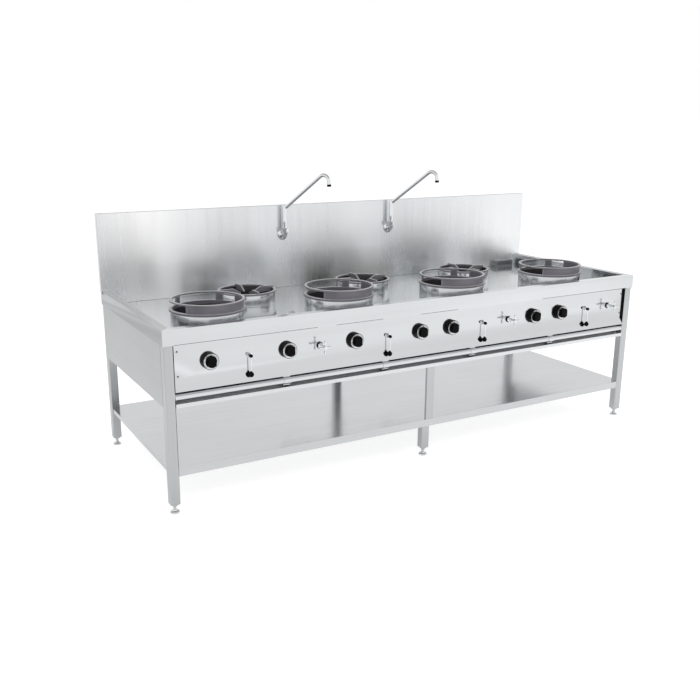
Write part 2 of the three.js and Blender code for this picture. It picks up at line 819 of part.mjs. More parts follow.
// A shallow folded tray with its open side to the back. Its front sheet runs down into the well,
// and its ends hang beside the rim.
function backsplash() {
  const half = halfLength + splashOverhang;
  const bottom = rimHeight - splashEndDrop;
  const shell = block(-half, half, splashFront, rangeDepth, bottom, splashTop);
  const inner = splashFront + sheet;
  const hollow = block(-half + sheet, half - sheet, inner, rangeDepth + past,
    bottom - past, splashTop - sheet);
  const rimReach = halfLength + rimOverhang + seat;
  const overRim = block(-rimReach, rimReach, splashFront - past, rangeDepth + past,
    bottom - past, rimHeight + seat);
  const inWell = wellHalf - seat;
  const apron = block(-inWell, inWell, splashFront, inner, wellFloor + seat, rimHeight + seat);
  const lips = [
    block(-half, half, rangeDepth - sheet, rangeDepth, splashTop - splashLip, splashTop),
    block(-half, -half + splashLip, rangeDepth - sheet, rangeDepth, rimHeight + seat, splashTop),
    block(half - splashLip, half, rangeDepth - sheet, rangeDepth, rimHeight + seat, splashTop),
  ];
  const ribs = splashRibs.map((middle) => {
    const left = middle - splashRibWidth / 2;
    const right = middle + splashRibWidth / 2;
    const rear = inner + splashRibDepth;
    const outline = folded([[right, inner], [right, rear], [left, rear], [left, inner]], sheet);
    return alongZ(outline, rimHeight + splashRibFoot, splashTop - sheet);
  });
  const tailHoles = faucetCentres.map((x) => {
    return discAlongY(tailRadius + runningGap, splashFront - past, inner + past, medium, x, faucetHeight);
  });
  const panel = joined([cut(shell, [hollow, overRim]), apron, ...lips, ...ribs]);
  return piece('backsplash', cut(panel, tailHoles), steel());
}

// ---- front rail ------------------------------------------------------------------------------

function frontRail() {
  const outer = discAlongX(railRadius, -baySpan, baySpan, railSides, railSetback, railHeight);
  const inside = railRadius - railWall;
  const bore = discAlongX(inside, -baySpan - past, baySpan + past, railSides, railSetback, railHeight);
  return piece('front_rail', outer.subtract(bore), steel());
}

// ---- burners ---------------------------------------------------------------------------------

// A wedge of [x, y] points from the centre out past the radius, between two angles in degrees.
function wedge(radius, from, to, x, y) {
  const steps = Math.ceil((to - from) / wedgeStep);
  const points = [[x, y]];
  for (let i = 0; i <= steps; i += 1) {
    const angle = radians(from + ((to - from) * i) / steps);
    points.push([x + radius * Math.cos(angle), y + radius * Math.sin(angle)]);
  }
  return points;
}

// A block from one radius to another, turned to an angle about (x, y).
function spoke(r0, r1, width, z0, z1, angle, x, y) {
  const geometry = new THREE.BoxGeometry(r1 - r0, width, z1 - z0);
  geometry.translate((r0 + r1) / 2, 0, (z0 + z1) / 2);
  geometry.rotateZ(radians(angle));
  geometry.translate(x, y, 0);
  return solid(geometry);
}

function wokRingForm(x, y) {
  const top = ringBase + ringHeight;
  const webBottom = ringBase + ringLowerFlange;
  const webTop = top - ringUpperFlange;
  const casting = turned([
    [ringLipBore, ringBase - ringLipDrop], [ringLipRadius, ringBase - ringLipDrop],
    [ringLipRadius, ringBase],
    [ringFlangeRadius, ringBase], [ringFlangeRadius, webBottom], [ringWebRadius, webBottom],
    [ringWebRadius, webTop], [ringTopRadius, webTop], [ringTopRadius, top], [ringBore, top],
  ], fine, x, y);
  const windows = ringWindows.map(([from, to]) => {
    return alongZ(wedge(2 * ringFlangeRadius, from, to, x, y), webBottom, webTop);
  });
  return cut(casting, windows);
}

function wokRings() {
  return wokCentres.map((x, i) => piece(`wok_ring_${i + 1}`, wokRingForm(x, wokRow), castIron()));
}

// A fin's outline in [radius, z]: flat on top near the ring, sloping down to its tip.
function finForm(angle, x, y) {
  const ringTop = gridBase + gridThickness;
  const top = ringTop + finRise;
  const bottom = ringTop - finDrop;
  const outer = gridRadius - finInset;
  const shape = outlineShape([
    [finTip, bottom], [gridBore - runningGap, bottom], [gridBore - runningGap, gridBase],
    [outer, gridBase],
    [outer, top], [finShoulder, top], [finTip, top - finTipDrop],
  ]);
  const geometry = new THREE.ExtrudeGeometry(shape, { depth: finThickness, bevelEnabled: false });
  geometry.translate(0, 0, -finThickness / 2);
  geometry.rotateX(Math.PI / 2);
  geometry.rotateZ(radians(angle));
  geometry.translate(x, y, 0);
  return solid(geometry);
}

function potGridForm(x, y) {
  const top = gridBase + gridThickness;
  const ring = turned([
    [gridBore, gridBase], [gridRadius, gridBase], [gridRadius, top], [gridBore, top],
  ], fine, x, y);
  return joined([ring, ...gridFinAngles.map((angle) => finForm(angle, x, y))]);
}

function potGrids() {
  return potCentres.map((x, i) => piece(`pot_grid_${i + 1}`, potGridForm(x, potRow), castIron()));
}

// Arms that carry a burner on the floor round its air opening.
function armForms(x, y, holeRadius, inner) {
  const bottom = wellFloor + seat;
  return armAngles.map((angle) => {
    return spoke(inner, holeRadius + armLap, armWidth, bottom, bottom + armThickness, angle, x, y);
  });
}

// A dished cast burner with a raised ring of ports and a boss in the middle.
function wokBurnerForm(x, y) {
  const dish = turned([
    [0, burnerStemBottom], [burnerStemRadius, burnerStemBottom], [burnerStemRadius, dishFloor - dishWall],
    [dishRadius - dishWall, dishFloor - dishWall], [dishRadius, dishRim], [dishRadius - dishWall, dishRim],
    [dishRadius - dishWall * 2, dishFloor], [flameRingRadius, dishFloor],
    [flameRingRadius - flameRingWidth / 4, dishFloor + flameRingRise],
    [flameRingRadius - flameRingWidth, dishFloor + flameRingRise],
    [flameRingRadius - flameRingWidth, dishFloor],
    [pilotRadius, dishFloor], [pilotRadius, dishFloor + pilotRise], [0, dishFloor + pilotRise],
  ], medium, x, y);
  return joined([dish, ...armForms(x, y, wokHoleRadius, dishRadius - dishWall)]);
}

function potBurnerForm(x, y) {
  const cap = turned([
    [0, burnerStemBottom], [burnerStemRadius, burnerStemBottom], [burnerStemRadius, wellFloor],
    [capRadius, wellFloor + armThickness], [capRadius, capTop - capEdge],
    [capRadius - capEdge, capTop], [0, capTop],
  ], medium, x, y);
  return joined([cap, ...armForms(x, y, potHoleRadius, burnerStemRadius)]);
}

function burners() {
  return [
    ...wokCentres.map((x, i) => piece(`wok_burner_${i + 1}`, wokBurnerForm(x, wokRow), castIron())),
    ...potCentres.map((x, i) => piece(`pot_burner_${i + 1}`, potBurnerForm(x, potRow), castIron())),
  ];
}

// ---- gas controls ----------------------------------------------------------------------------

function knobForm(x) {
  const rim = dialFace + knobChamfer;
  const tip = dialFace - gripLength;
  const turnedBody = turnedAlongY([
    [0, knobBack], [knobRadius, knobBack], [knobRadius, rim], [knobRadius - knobChamfer, dialFace],
    [gripRadius, dialFace], [gripTipRadius, tip], [0, tip],
  ], medium, x, controlHeight);
  const flats = [-1, 1].map((side) => {
    const inner = x + side * gripFlat;
    const outer = x + side * knobRadius;
    return block(Math.min(inner, outer), Math.max(inner, outer), tip - past, dialFace,
      controlHeight - knobRadius, controlHeight + knobRadius);
  });
  const boreEnd = knobBack - spindleReach - seat;
  const bore = discAlongY(spindleRadius + runningGap, boreEnd, knobBack + past, medium, x, controlHeight);
  return cut(turnedBody, [...flats, bore]);
}

function knobs() {
  return knobCentres.map((x, i) => piece(`knob_${i + 1}`, knobForm(x), blackPlastic()));
}

// The supply pipe behind the panel, with its inlet turned back to the rear panel.
function manifoldPipe() {
  const stations = bentLine([
    [-manifoldEnd, manifoldSetback, controlHeight], [manifoldEnd, manifoldSetback, controlHeight],
    [manifoldEnd, rangeDepth - panelReturn, controlHeight],
  ], manifoldBend, mainBend);
  return tube(stations, manifoldRadius, coarse);
}

// A gas valve screwed into the supply pipe, with its spindle through the control panel.
function knobValve(x) {
  const tip = knobBack - spindleReach;
  const spindle = discAlongY(spindleRadius, tip, panelBack + valveThread, hexagon, x, controlHeight);
  const body = discAlongY(valveRadius, panelBack + seat, valveBack, hexagon, x, controlHeight);
  return spindle.add(body);
}

const leverRow = panelSetback - leverOffset;

// A quarter-turn cock, with a nut that holds it to the front of the panel.
function leverCock(x) {
  const front = leverRow + leverHubLength / 2 + seat;
  const neck = discAlongY(cockRadius, front, panelBack + valveThread, coarse, x, controlHeight);
  const nutBack = panelSetback - seat;
  const nut = discAlongY(cockNutRadius, nutBack - cockNutLength, nutBack, hexagon, x, controlHeight);
  const body = discAlongY(valveRadius, panelBack + seat, valveBack, hexagon, x, controlHeight);
  return joined([neck, nut, body]);
}

// A pipe from a valve down behind the panel, across below the well and up to a burner.
function feedPipe(valveX, drop, end, top, radius) {
  const height = controlHeight - drop;
  return tube(bentLine([
    [valveX, feedSetback, controlHeight - valveRadius + valveThread],
    [valveX, feedSetback, height],
    [...end, height],
    [...end, top],
  ], feedBend * radius, feedCuts), radius, thinPipe);
}

// Which burner each knob feeds, counted from the left.
const knobBurners = [['wok', 0], ['pot', 0], ['wok', 1], ['pot', 1], ['wok', 2], ['pot', 2], ['wok', 3]];

// The gas side as it is screwed together: supply pipe, valves, cocks, and a pipe to each burner
// and each wok pilot.
function gasManifold() {
  const feeds = knobBurners.map(([kind, number], i) => {
    const end = kind === 'wok' ? [wokCentres[number], wokRow] : [potCentres[number], potRow];
    return feedPipe(knobCentres[i], feedDrop, end, burnerStemBottom - seat, feedRadius);
  });
  const pilotTop = dishFloor - dishWall - seat;
  const pilots = leverCentres.map((x, i) => {
    return feedPipe(x, pilotDrop, [wokCentres[i] + pilotOffset, wokRow], pilotTop, pilotPipeRadius);
  });
  return piece('gas_manifold', joined([
    manifoldPipe(),
    ...knobCentres.map(knobValve),
    ...leverCentres.map(leverCock),
    ...feeds,
    ...pilots,
  ]), chrome());
}

// A hub, a thin rod hanging from it and a ball on its end.
function leverForm(x) {
  const half = leverHubLength / 2;
  const hub = discAlongY(leverHubRadius, leverRow - half, leverRow + half, coarse, x, controlHeight);
  const rod = disc(leverRod, controlHeight - leverLength, controlHeight, hexagon, x, leverRow);
  const end = ball(ballRadius, x, leverRow, controlHeight - leverLength, coarse, ballRows);
  return joined([hub, rod, end]);
}

function levers() {
  return leverCentres.map((x, i) => piece(`lever_${i + 1}`, leverForm(x), chrome()));
}

// ---- water controls --------------------------------------------------------------------------

const handleRow = panelSetback - handleOffset;
const waterValveRow = panelBack + waterValveSetback + waterValveRadius;
const headerRow = waterValveRow + waterValveRadius + headerRadius - pipeLap;

// A tap's valve behind the panel, with its bonnet, packing nut and spindle in front.
function waterValve(x) {
  const bonnetFront = panelSetback - seat - bonnetLength;
  const packingFront = bonnetFront - packingLength;
  const handleBack = handleRow + handleHubLength / 2;
  return joined([
    disc(waterValveRadius, waterValveBottom, controlHeight + waterValveRise, coarse, x, waterValveRow),
    discAlongY(packingRadius, packingFront, waterValveRow, coarse, x, controlHeight),
    discAlongY(bonnetRadius, bonnetFront, panelSetback - seat, hexagon, x, controlHeight),
    discAlongY(tapSpindleRadius, handleBack + seat, packingFront + past, hexagon, x, controlHeight),
  ]);
}

// The water side: a supply pipe behind the taps, and each tap's outlet, the first to the nozzle in
// the well and the others up the back of the splashback to the spouts.
function waterManifold() {
  const header = tube(bentLine([
    [tapCentres[0] - waterValveRadius, headerRow, headerHeight], [headerEnd, headerRow, headerHeight],
    [headerEnd, rangeDepth - panelReturn, headerHeight],
  ], outletBend, outletCuts), headerRadius, coarse);
  const outlet = (x) => [[x, waterValveRow, waterValveBottom + past], [x, waterValveRow, outletHeight]];
  const nozzleEnd = wellUnderside - nozzleStemDrop - seat;
  const spoutEnd = faucetHeight - tailRadius - seat;
  const toNozzle = [...outlet(tapCentres[0]), [...nozzlePlace, outletHeight], [...nozzlePlace, nozzleEnd]];
  const toSpouts = faucetCentres.map((x, i) => {
    return [...outlet(tapCentres[i + 1]), [x, outletBack, outletHeight], [x, outletBack, spoutEnd]];
  });
  const outlets = [toNozzle, ...toSpouts].map((corners) => {
    return tube(bentLine(corners, outletBend, outletCuts), outletRadius, hexagon);
  });
  return piece('water_manifold', joined([header, ...tapCentres.map(waterValve), ...outlets]), chrome());
}

// A hub with a domed screw cap and four arms that swell towards their tips.
function crossHandleForm(x) {
  const back = handleRow + handleHubLength / 2;
  const front = handleRow - handleHubLength / 2;
  const hub = turnedAlongY([
    [0, back], [handleHubRadius, back], [handleHubRadius, front],
    [handleDomeRadius, front - handleDome], [0, front - handleDome],
  ], medium, x, controlHeight);
  const half = handleSpan / 2;
  const arms = [0, 90, 180, 270].map((angle) => {
    const geometry = new THREE.LatheGeometry([
      new THREE.Vector2(0, handleRoot),
      new THREE.Vector2(handleArmRadius, handleRoot),
      new THREE.Vector2(handleTipRadius, half - handleTipRadius),
      new THREE.Vector2(handleTipFlat, half),
      new THREE.Vector2(0, half),
    ], hexagon);
    geometry.rotateZ(radians(angle));
    geometry.rotateX(Math.PI / 2);
    geometry.translate(x, handleRow, controlHeight);
    return solid(geometry);
  });
  return joined([hub, ...arms]);
}

function crossHandles() {
  return tapCentres.map((x, i) => piece(`cross_handle_${i + 1}`, crossHandleForm(x), chrome()));
}

// ---- faucets ---------------------------------------------------------------------------------

// The wall flange, the elbow that stands off the splashback and the union nut on top of it.
function faucetBodyForm(x) {
  const flange = turnedAlongY([
    [0, splashFront - seat], [escutcheonRadius, splashFront - seat],
    [escutcheonRadius, splashFront - seat - escutcheonThickness / 2],
    [elbowRadius, splashFront - seat - escutcheonThickness], [0, splashFront - seat - escutcheonThickness],
  ], fine, x, faucetHeight);
  const stub = discAlongY(elbowRadius, riserRow, splashFront - seat, medium, x, faucetHeight);
  const tailEnd = splashFront + sheet + tailBack;
  const tail = discAlongY(tailRadius, splashFront - past, tailEnd, coarse, x, faucetHeight);
  const nutFront = splashFront + sheet + seat;
  const tailNut = discAlongY(tailNutRadius, nutFront, nutFront + tailNutLength, hexagon, x, faucetHeight);
  const knuckle = ball(elbowRadius, x, riserRow, faucetHeight, medium, ballRows);
  const socket = disc(elbowRadius, faucetHeight, unionBottom + past, medium, x, riserRow);
  const union = disc(unionRadius, unionBottom, unionTop, hexagon, x, riserRow);
  const bore = disc(spigotRadius + 2 * runningGap, unionBottom, unionTop + past, medium, x, riserRow);
  return cut(joined([flange, stub, tail, tailNut, knuckle, socket, union]), [bore]);
}

const faucetSides = ['left', 'right'];

function faucetBodies() {
  return faucetCentres.map((x, i) => piece(`faucet_body_${faucetSides[i]}`, faucetBodyForm(x), chrome()));
}

// The spout's centre line in its own upright plane, as [reach, height] from the riser's axis.
function spoutLine() {
  const rise = radians(spoutRise);
  const fall = radians(spoutTipLean - 90);
  const bendStart = [spoutLength * Math.cos(rise), spoutRoot + spoutLength * Math.sin(rise)];
  const points = [[0, spoutRoot], bendStart];
  for (let i = 1; i <= spoutCuts; i += 1) {
    const heading = rise + ((fall - rise) * i) / spoutCuts;
    points.push([
      bendStart[0] + spoutBend * (Math.sin(rise) - Math.sin(heading)),
      bendStart[1] - spoutBend * (Math.cos(rise) - Math.cos(heading)),
    ]);
  }
  const bendEnd = points.at(-1);
  points.push([bendEnd[0] + spoutTipDrop * Math.cos(fall), bendEnd[1] + spoutTipDrop * Math.sin(fall)]);
  return points;
}

function spoutForm(x) {
  const swing = radians(spoutSwing);
  const place = ([reach, z]) => {
    return new THREE.Vector3(x + reach * Math.sin(swing), riserRow - reach * Math.cos(swing), z);
  };
  const stations = spoutLine().map(place);
  const tip = stations.at(-1);
  const upward = stations.at(-2).clone().sub(tip).normalize();
  const collarEnds = [
    tip.clone().addScaledVector(upward, aeratorLength),
    tip.clone().addScaledVector(upward, -aeratorRim),
  ];
  const riser = turned([
    [0, unionBottom + seat], [spigotRadius, unionBottom + seat], [spigotRadius, unionTop + seat],
    [riserRadius, unionTop + seat], [riserRadius, riserTop - riserChamfer],
    [riserRadius - riserChamfer, riserTop], [0, riserTop],
  ], medium, x, riserRow);
  const pipe = tube(stations, spoutRadius, coarse);
  const aerator = tube(collarEnds, aeratorRadius, coarse);
  return joined([riser, pipe, aerator]);
}

function spouts() {
  return faucetCentres.map((x, i) => piece(`spout_${faucetSides[i]}`, spoutForm(x), chrome()));
}

// ---- fittings in the well --------------------------------------------------------------------

// An open-bottomed box over the drain, slotted along its front.
function drainStrainer() {
  const x0 = strainerLeft;
  const x1 = strainerLeft + strainerWidth;
  const y0 = splashFront - seat - strainerDepth;
  const y1 = splashFront - seat;
  const z0 = wellFloor + seat;
  const z1 = z0 + strainerHeight;
  const outer = block(x0, x1, y0, y1, z0, z1);
  const inner = block(x0 + sheet, x1 - sheet, y0 + sheet, y1 - sheet, z0 - past, z1 - sheet);
  const pitch = (strainerWidth - 2 * strainerSlotMargin) / strainerSlots;
  const slots = [];
  for (let i = 0; i < strainerSlots; i += 1) {
    const middle = x0 + strainerSlotMargin + pitch * (i + 0.5);
    const left = middle - strainerSlotWidth / 2;
    slots.push(block(left, left + strainerSlotWidth, y0 - past, y0 + sheet + past,
      z0 + strainerSlotMargin, z1 - strainerSlotMargin));
  }
  return piece('drain_strainer', cut(outer, [inner, ...slots]), steel());
}

// The domed nozzle that flushes the well, with its stem through the floor and a nut below.
function flushNozzle() {
  const z0 = wellFloor + seat;
  const dome = turned([
    [0, z0], [nozzleRadius, z0],
    ...nozzleDome.map(([across, up]) => [nozzleRadius * across, z0 + nozzleHeight * up]),
    [0, z0 + nozzleHeight],
  ], medium, ...nozzlePlace);
  const stem = disc(nozzleStem, wellUnderside - nozzleStemDrop, z0 + past, coarse, ...nozzlePlace);
  const nutTop = wellUnderside - seat;
  const nut = disc(nozzleNutRadius, nutTop - nozzleNutThickness, nutTop, hexagon, ...nozzlePlace);
  return piece('flush_nozzle', joined([dome, stem, nut]), chrome());
}

// ---- the range -------------------------------------------------------------------------------

const range = new THREE.Group();
range.add(
  ...legs(),
  ...feet(),
  middlePost(),
  frameRails(),
  shelf(),
  worktop(),
  controlPanel(),
  sidePanel('side_panel_left', -1),
  sidePanel('side_panel_right', 1),
  rearPanel(),
  frontAngle(),
  backsplash(),
  frontRail(),
  ...wokRings(),
  ...potGrids(),
  ...burners(),
  ...knobs(),
  gasManifold(),
  ...levers(),
  waterManifold(),
  ...crossHandles(),
  ...faucetBodies(),
  ...spouts(),
  drainStrainer(),
  flushNozzle(),
);

// Centred on its box, standing on the floor.
const box = new THREE.Box3().setFromObject(range);
range.position.set(-(box.min.x + box.max.x) / 2, -(box.min.y + box.max.y) / 2, -box.min.z);
range.updateMatrixWorld(true);

export default range;
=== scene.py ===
import json
import math

import bmesh
import bpy
from mathutils import Matrix, Vector

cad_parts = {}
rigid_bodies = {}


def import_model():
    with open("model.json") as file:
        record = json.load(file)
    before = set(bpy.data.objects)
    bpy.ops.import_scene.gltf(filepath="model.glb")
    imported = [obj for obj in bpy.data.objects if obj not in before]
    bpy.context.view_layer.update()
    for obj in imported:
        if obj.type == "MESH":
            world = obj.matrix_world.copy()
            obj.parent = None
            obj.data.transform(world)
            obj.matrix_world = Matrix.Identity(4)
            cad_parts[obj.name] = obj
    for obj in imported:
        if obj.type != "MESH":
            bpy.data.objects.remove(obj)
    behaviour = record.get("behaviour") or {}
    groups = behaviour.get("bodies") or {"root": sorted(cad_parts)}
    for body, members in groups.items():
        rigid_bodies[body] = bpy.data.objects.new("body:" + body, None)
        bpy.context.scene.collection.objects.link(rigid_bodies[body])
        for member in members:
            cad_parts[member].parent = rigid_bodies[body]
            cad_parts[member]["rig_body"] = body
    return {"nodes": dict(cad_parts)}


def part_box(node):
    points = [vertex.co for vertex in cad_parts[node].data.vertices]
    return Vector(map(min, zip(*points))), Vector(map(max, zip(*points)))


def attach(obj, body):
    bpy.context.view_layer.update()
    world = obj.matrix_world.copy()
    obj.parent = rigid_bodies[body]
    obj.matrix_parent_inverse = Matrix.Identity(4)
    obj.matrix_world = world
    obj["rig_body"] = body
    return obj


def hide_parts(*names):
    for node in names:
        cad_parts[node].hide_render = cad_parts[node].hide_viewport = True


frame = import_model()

scene = bpy.context.scene
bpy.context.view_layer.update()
nodes = frame["nodes"]
rootBody = "range"
print("loaded", len(nodes), "nodes")


# camera, at the photograph's angle

cameraSetup = {
    "place": (-2.440, -3.785, 1.679),
    "pitch": 15.12,
    "yaw": 28.71,
    "lens": 42.87,
    "shift": (0.0379, 0.0019),
    "reach": 100,
}


def placeCamera():
    data = bpy.data.cameras.new("camera")
    data.lens = cameraSetup["lens"]
    data.shift_x, data.shift_y = cameraSetup["shift"]
    data.clip_end = cameraSetup["reach"]
    eye = bpy.data.objects.new("camera", data)
    eye.location = cameraSetup["place"]
    tilt = math.radians(90 - cameraSetup["pitch"])
    eye.rotation_euler = (tilt, 0, math.radians(-cameraSetup["yaw"]))
    scene.collection.objects.link(eye)
    scene.camera = eye


placeCamera()


# shader sums: a wire is one socket, and a tree adds the nodes

class Wire:
    def __init__(self, tree, socket):
        self.tree = tree
        self.socket = socket

    def sums(self, operation, first, second=0.0):
        return self.tree.add("ShaderNodeMath", {"operation": operation}, {0: first, 1: second})

    def __add__(self, other):
        return self.sums("ADD", self, other)

    def __radd__(self, other):
        return self.sums("ADD", other, self)

    def __sub__(self, other):
        return self.sums("SUBTRACT", self, other)

    def __rsub__(self, other):
        return self.sums("SUBTRACT", other, self)

    def __mul__(self, other):
        return self.sums("MULTIPLY", self, other)

    def __rmul__(self, other):
        return self.sums("MULTIPLY", other, self)

    def __abs__(self):
        return self.sums("ABSOLUTE", self)


class Tree:
    def __init__(self, owner):
        owner.use_nodes = True
        self.nodes = owner.node_tree.nodes
        self.links = owner.node_tree.links

    def feed(self, node, values):
        for name, value in values.items():
            if isinstance(value, Wire):
                self.links.new(value.socket, node.inputs[name])
            else:
                node.inputs[name].default_value = value

    def add(self, kind, settings, values, output=0):
        node = self.nodes.new(kind)
        for name, value in settings.items():
            setattr(node, name, value)
        self.feed(node, values)
        return Wire(self, node.outputs[output])

    def here(self):
        return self.add("ShaderNodeTexCoord", {}, {}, "Object")

    def along(self, axis, place=None):
        return self.add("ShaderNodeSeparateXYZ", {}, {"Vector": place or self.here()}, axis)

    def rays(self, *kinds):
        return [self.add("ShaderNodeLightPath", {}, {}, f"Is {kind} Ray") for kind in kinds]

    def noise(self, scale, detail, stretch=(1, 1, 1), roughness=0.5):
        place = self.add("ShaderNodeMapping", {}, {"Vector": self.here(), "Scale": stretch})
        return self.add("ShaderNodeTexNoise", {}, {
            "Vector": place, "Scale": scale, "Detail": detail, "Roughness": roughness})

    def mixColour(self, factor, first, second):
        return self.add("ShaderNodeMix", {"data_type": "RGBA"}, {
            0: factor, 6: asColour(first), 7: asColour(second)}, 2)

    def spread(self, value, low, high, toLow=0.0, toHigh=1.0):
        return self.add("ShaderNodeMapRange", {"clamp": True}, {
            0: value, 1: low, 2: high, 3: toLow, 4: toHigh})


def asColour(value):
    return value if isinstance(value, Wire) else (*value, 1)


def newLook(name, values, relief, reliefDepth, reliefStrength):
    material = bpy.data.materials.new(name)
    tree = Tree(material)
    shader = tree.nodes["Principled BSDF"]
    tree.feed(shader, values(tree))
    if reliefStrength:
        bump = tree.add("ShaderNodeBump", {}, {
            "Strength": reliefStrength, "Distance": reliefDepth, "Height": relief(tree)})
        tree.feed(shader, {"Normal": bump})
    return material


# brushed steel: fine lines one way, with clouds and wipe marks over them

steelFinish = {
    "clean": (0.70, 0.717, 0.730),
    "dull": (0.635, 0.65, 0.662),
    "lineScale": 260,
    "lineStretch": 0.012,
    "lineRoughness": 0.6,
    "lines": 0.35,
    "cloudScale": 2.3,
    "wipeScale": 9,
    "wipeStretch": 4,
    "worn": (0.35, 0.65),
    "wear": 0.45,
    "reliefDepth": 0.00003,
}


def brushedSteel(name, along, tint, roughness, relief=0.15, anisotropy=0.0, marks=None):
    stretch = [1, 1, 1]
    stretch["xyz".index(along)] = steelFinish["lineStretch"]

    def lineNoise(tree, finer, detail):
        scale = steelFinish["lineScale"] * finer
        return tree.noise(scale, detail, stretch, steelFinish["lineRoughness"])

    def values(tree):
        # a sheet given painted light marks has no lines, as if worn too smooth for them
        lines = 0.0 if marks else lineNoise(tree, 1, 3) * steelFinish["lines"]
        clouds = tree.noise(steelFinish["cloudScale"], 3)
        wipeStretch = [steelFinish["wipeStretch"] * s for s in stretch]
        wipes = tree.noise(steelFinish["wipeScale"], 2, wipeStretch)
        worn = tree.spread(clouds * 0.6 + wipes * 0.4, *steelFinish["worn"])
        clean = [tint * c for c in steelFinish["clean"]]
        dull = [tint * c for c in steelFinish["dull"]]
        steel = tree.mixColour(lines + worn * steelFinish["wear"], clean, dull)
        return {
            "Base Color": marks(tree, steel) if marks else steel,
            "Metallic": 1.0,
            "Roughness": lines * 0.15 + worn * 0.05 + (roughness - 0.04),
            "Anisotropic": anisotropy,
            "Anisotropic Rotation": 0.25,
        }

    depth = steelFinish["reliefDepth"]
    return newLook(name, values, lambda tree: lineNoise(tree, 2, 2), depth, relief)


# the splashback: painted highlights as pale upright streaks and one bright streak, paler towards
# the far end, and painted reflections of the burners, dark and stretched upright, low on the wall
# behind them

splashPaintedLight = {
    "bandScale": 2.6,
    "bandStretch": (1, 1, 0.04),
    "bandRange": (0.35, 0.70),
    "highlightBands": 0.2,
    "highlightAt": -1.13,
    "highlightWidth": (0.04, 0.38),
    "polished": 0.9,
    "farEnd": (0.6, 1.4, 0, 0.35),
    "pale": (1.0, 1.0, 1.0),
    "stainScale": 3.1,
    "stainStretch": (1, 1, 0.3),
    "stainRange": (0.38, 0.62),
    "stainHeight": (0.99, 0.83),
    "stainStart": (-1.15, -0.75),
    "stains": 0.75,
    "brown": (0.27, 0.268, 0.25),
}


def paintSplashLight(tree, steel):
    across, height = tree.along("X"), tree.along("Z")
    bandNoise = tree.noise(splashPaintedLight["bandScale"], 1, splashPaintedLight["bandStretch"])
    highlightBands = tree.spread(bandNoise, *splashPaintedLight["bandRange"])
    # painted highlight: one bright upright streak, mixed towards white
    away = abs(across - splashPaintedLight["highlightAt"])
    polished = 1 - tree.spread(away, *splashPaintedLight["highlightWidth"])
    farEnd = tree.spread(across, *splashPaintedLight["farEnd"])
    pale = highlightBands * splashPaintedLight["highlightBands"] + polished * splashPaintedLight["polished"] + farEnd
    steel = tree.mixColour(pale, steel, splashPaintedLight["pale"])
    # painted reflections of the burners: dark, stretched upright, strongest low on the wall and
    # fading in from the left; the stain and heat masks below carry them
    burnerReflectionNoise = tree.noise(splashPaintedLight["stainScale"], 2, splashPaintedLight["stainStretch"])
    stains = tree.spread(burnerReflectionNoise, *splashPaintedLight["stainRange"])
    heat = tree.spread(height, *splashPaintedLight["stainHeight"]) * stains
    start = tree.spread(across, *splashPaintedLight["stainStart"])
    return tree.mixColour(heat * start * splashPaintedLight["stains"], steel, splashPaintedLight["brown"])


# the other finishes

def chromePlate(name, tint, roughness):
    def values(tree):
        mist = tree.noise(60, 3)
        specks = tree.noise(900, 2)
        bright = [tint * c for c in (0.97, 0.985, 1)]
        pale = [tint * c for c in (0.9, 0.92, 0.94)]
        return {
            "Base Color": tree.mixColour(mist, bright, pale),
            "Metallic": 1.0,
            "Roughness": mist * 0.04 + specks * 0.02 + (roughness - 0.02),
        }

    return newLook(name, values, lambda tree: tree.noise(220, 2), 0.00002, 0.1)


castFinish = {
    "grainScale": 420,
    "stainScale": 14,
    "edges": (0.525, 0.575),
    "edgeWear": 0.85,
    "stained": 1.35,
    "metal": 0.6,
    "roughness": 0.42,
    "reliefScale": 520,
    "relief": (0.0005, 0.4),
}


def castIron(name, dark, worn):
    def values(tree):
        grain = tree.noise(castFinish["grainScale"], 4, roughness=0.65)
        stains = tree.noise(castFinish["stainScale"], 4)
        # rounded edges turn lighter: partly wear, partly painted highlight
        edges = tree.add("ShaderNodeNewGeometry", {}, {}, "Pointiness")
        paintedEdges = tree.spread(edges + grain * 0.03, *castFinish["edges"])
        stained = [c * castFinish["stained"] for c in dark]
        body = tree.mixColour(tree.spread(stains, 0.35, 0.7), dark, stained)
        return {
            "Base Color": tree.mixColour(paintedEdges * castFinish["edgeWear"], body, worn),
            "Metallic": castFinish["metal"],
            "Roughness": castFinish["roughness"] - paintedEdges * 0.1 + grain * 0.1 - stains * 0.1,
        }

    def relief(tree):
        return tree.noise(castFinish["reliefScale"], 4, roughness=0.7)

    return newLook(name, values, relief, *castFinish["relief"])


def blackPlastic(name, roughness):
    def values(tree):
        grain = tree.noise(1500, 2)
        haze = tree.noise(40, 3)
        return {
            "Base Color": tree.mixColour(haze, (0.0022, 0.0021, 0.0021), (0.0055, 0.0052, 0.005)),
            "Roughness": haze * 0.1 + grain * 0.06 + (roughness - 0.08),
            "Specular IOR Level": 0.06,
        }

    return newLook(name, values, lambda tree: tree.noise(1800, 2), 0.00003, 0.2)


def brassJet(name):
    def values(tree):
        heat = tree.noise(90, 3)
        return {
            "Base Color": tree.mixColour(heat, (0.55, 0.40, 0.16), (0.30, 0.19, 0.08)),
            "Metallic": 1.0,
            "Roughness": heat * 0.25 + 0.3,
        }

    return newLook(name, values, lambda tree: tree.noise(700, 2), 0.00005, 0.2)


def flatPaint(name, colour):
    def values(tree):
        haze = tree.noise(300, 2)
        return {
            "Base Color": tree.mixColour(haze, colour, [c * 1.8 for c in colour]),
            "Roughness": haze * 0.2 + 0.5,
            "Specular IOR Level": 0.1,
        }

    return newLook(name, values, lambda tree: tree.noise(900, 2), 0.00002, 0.1)


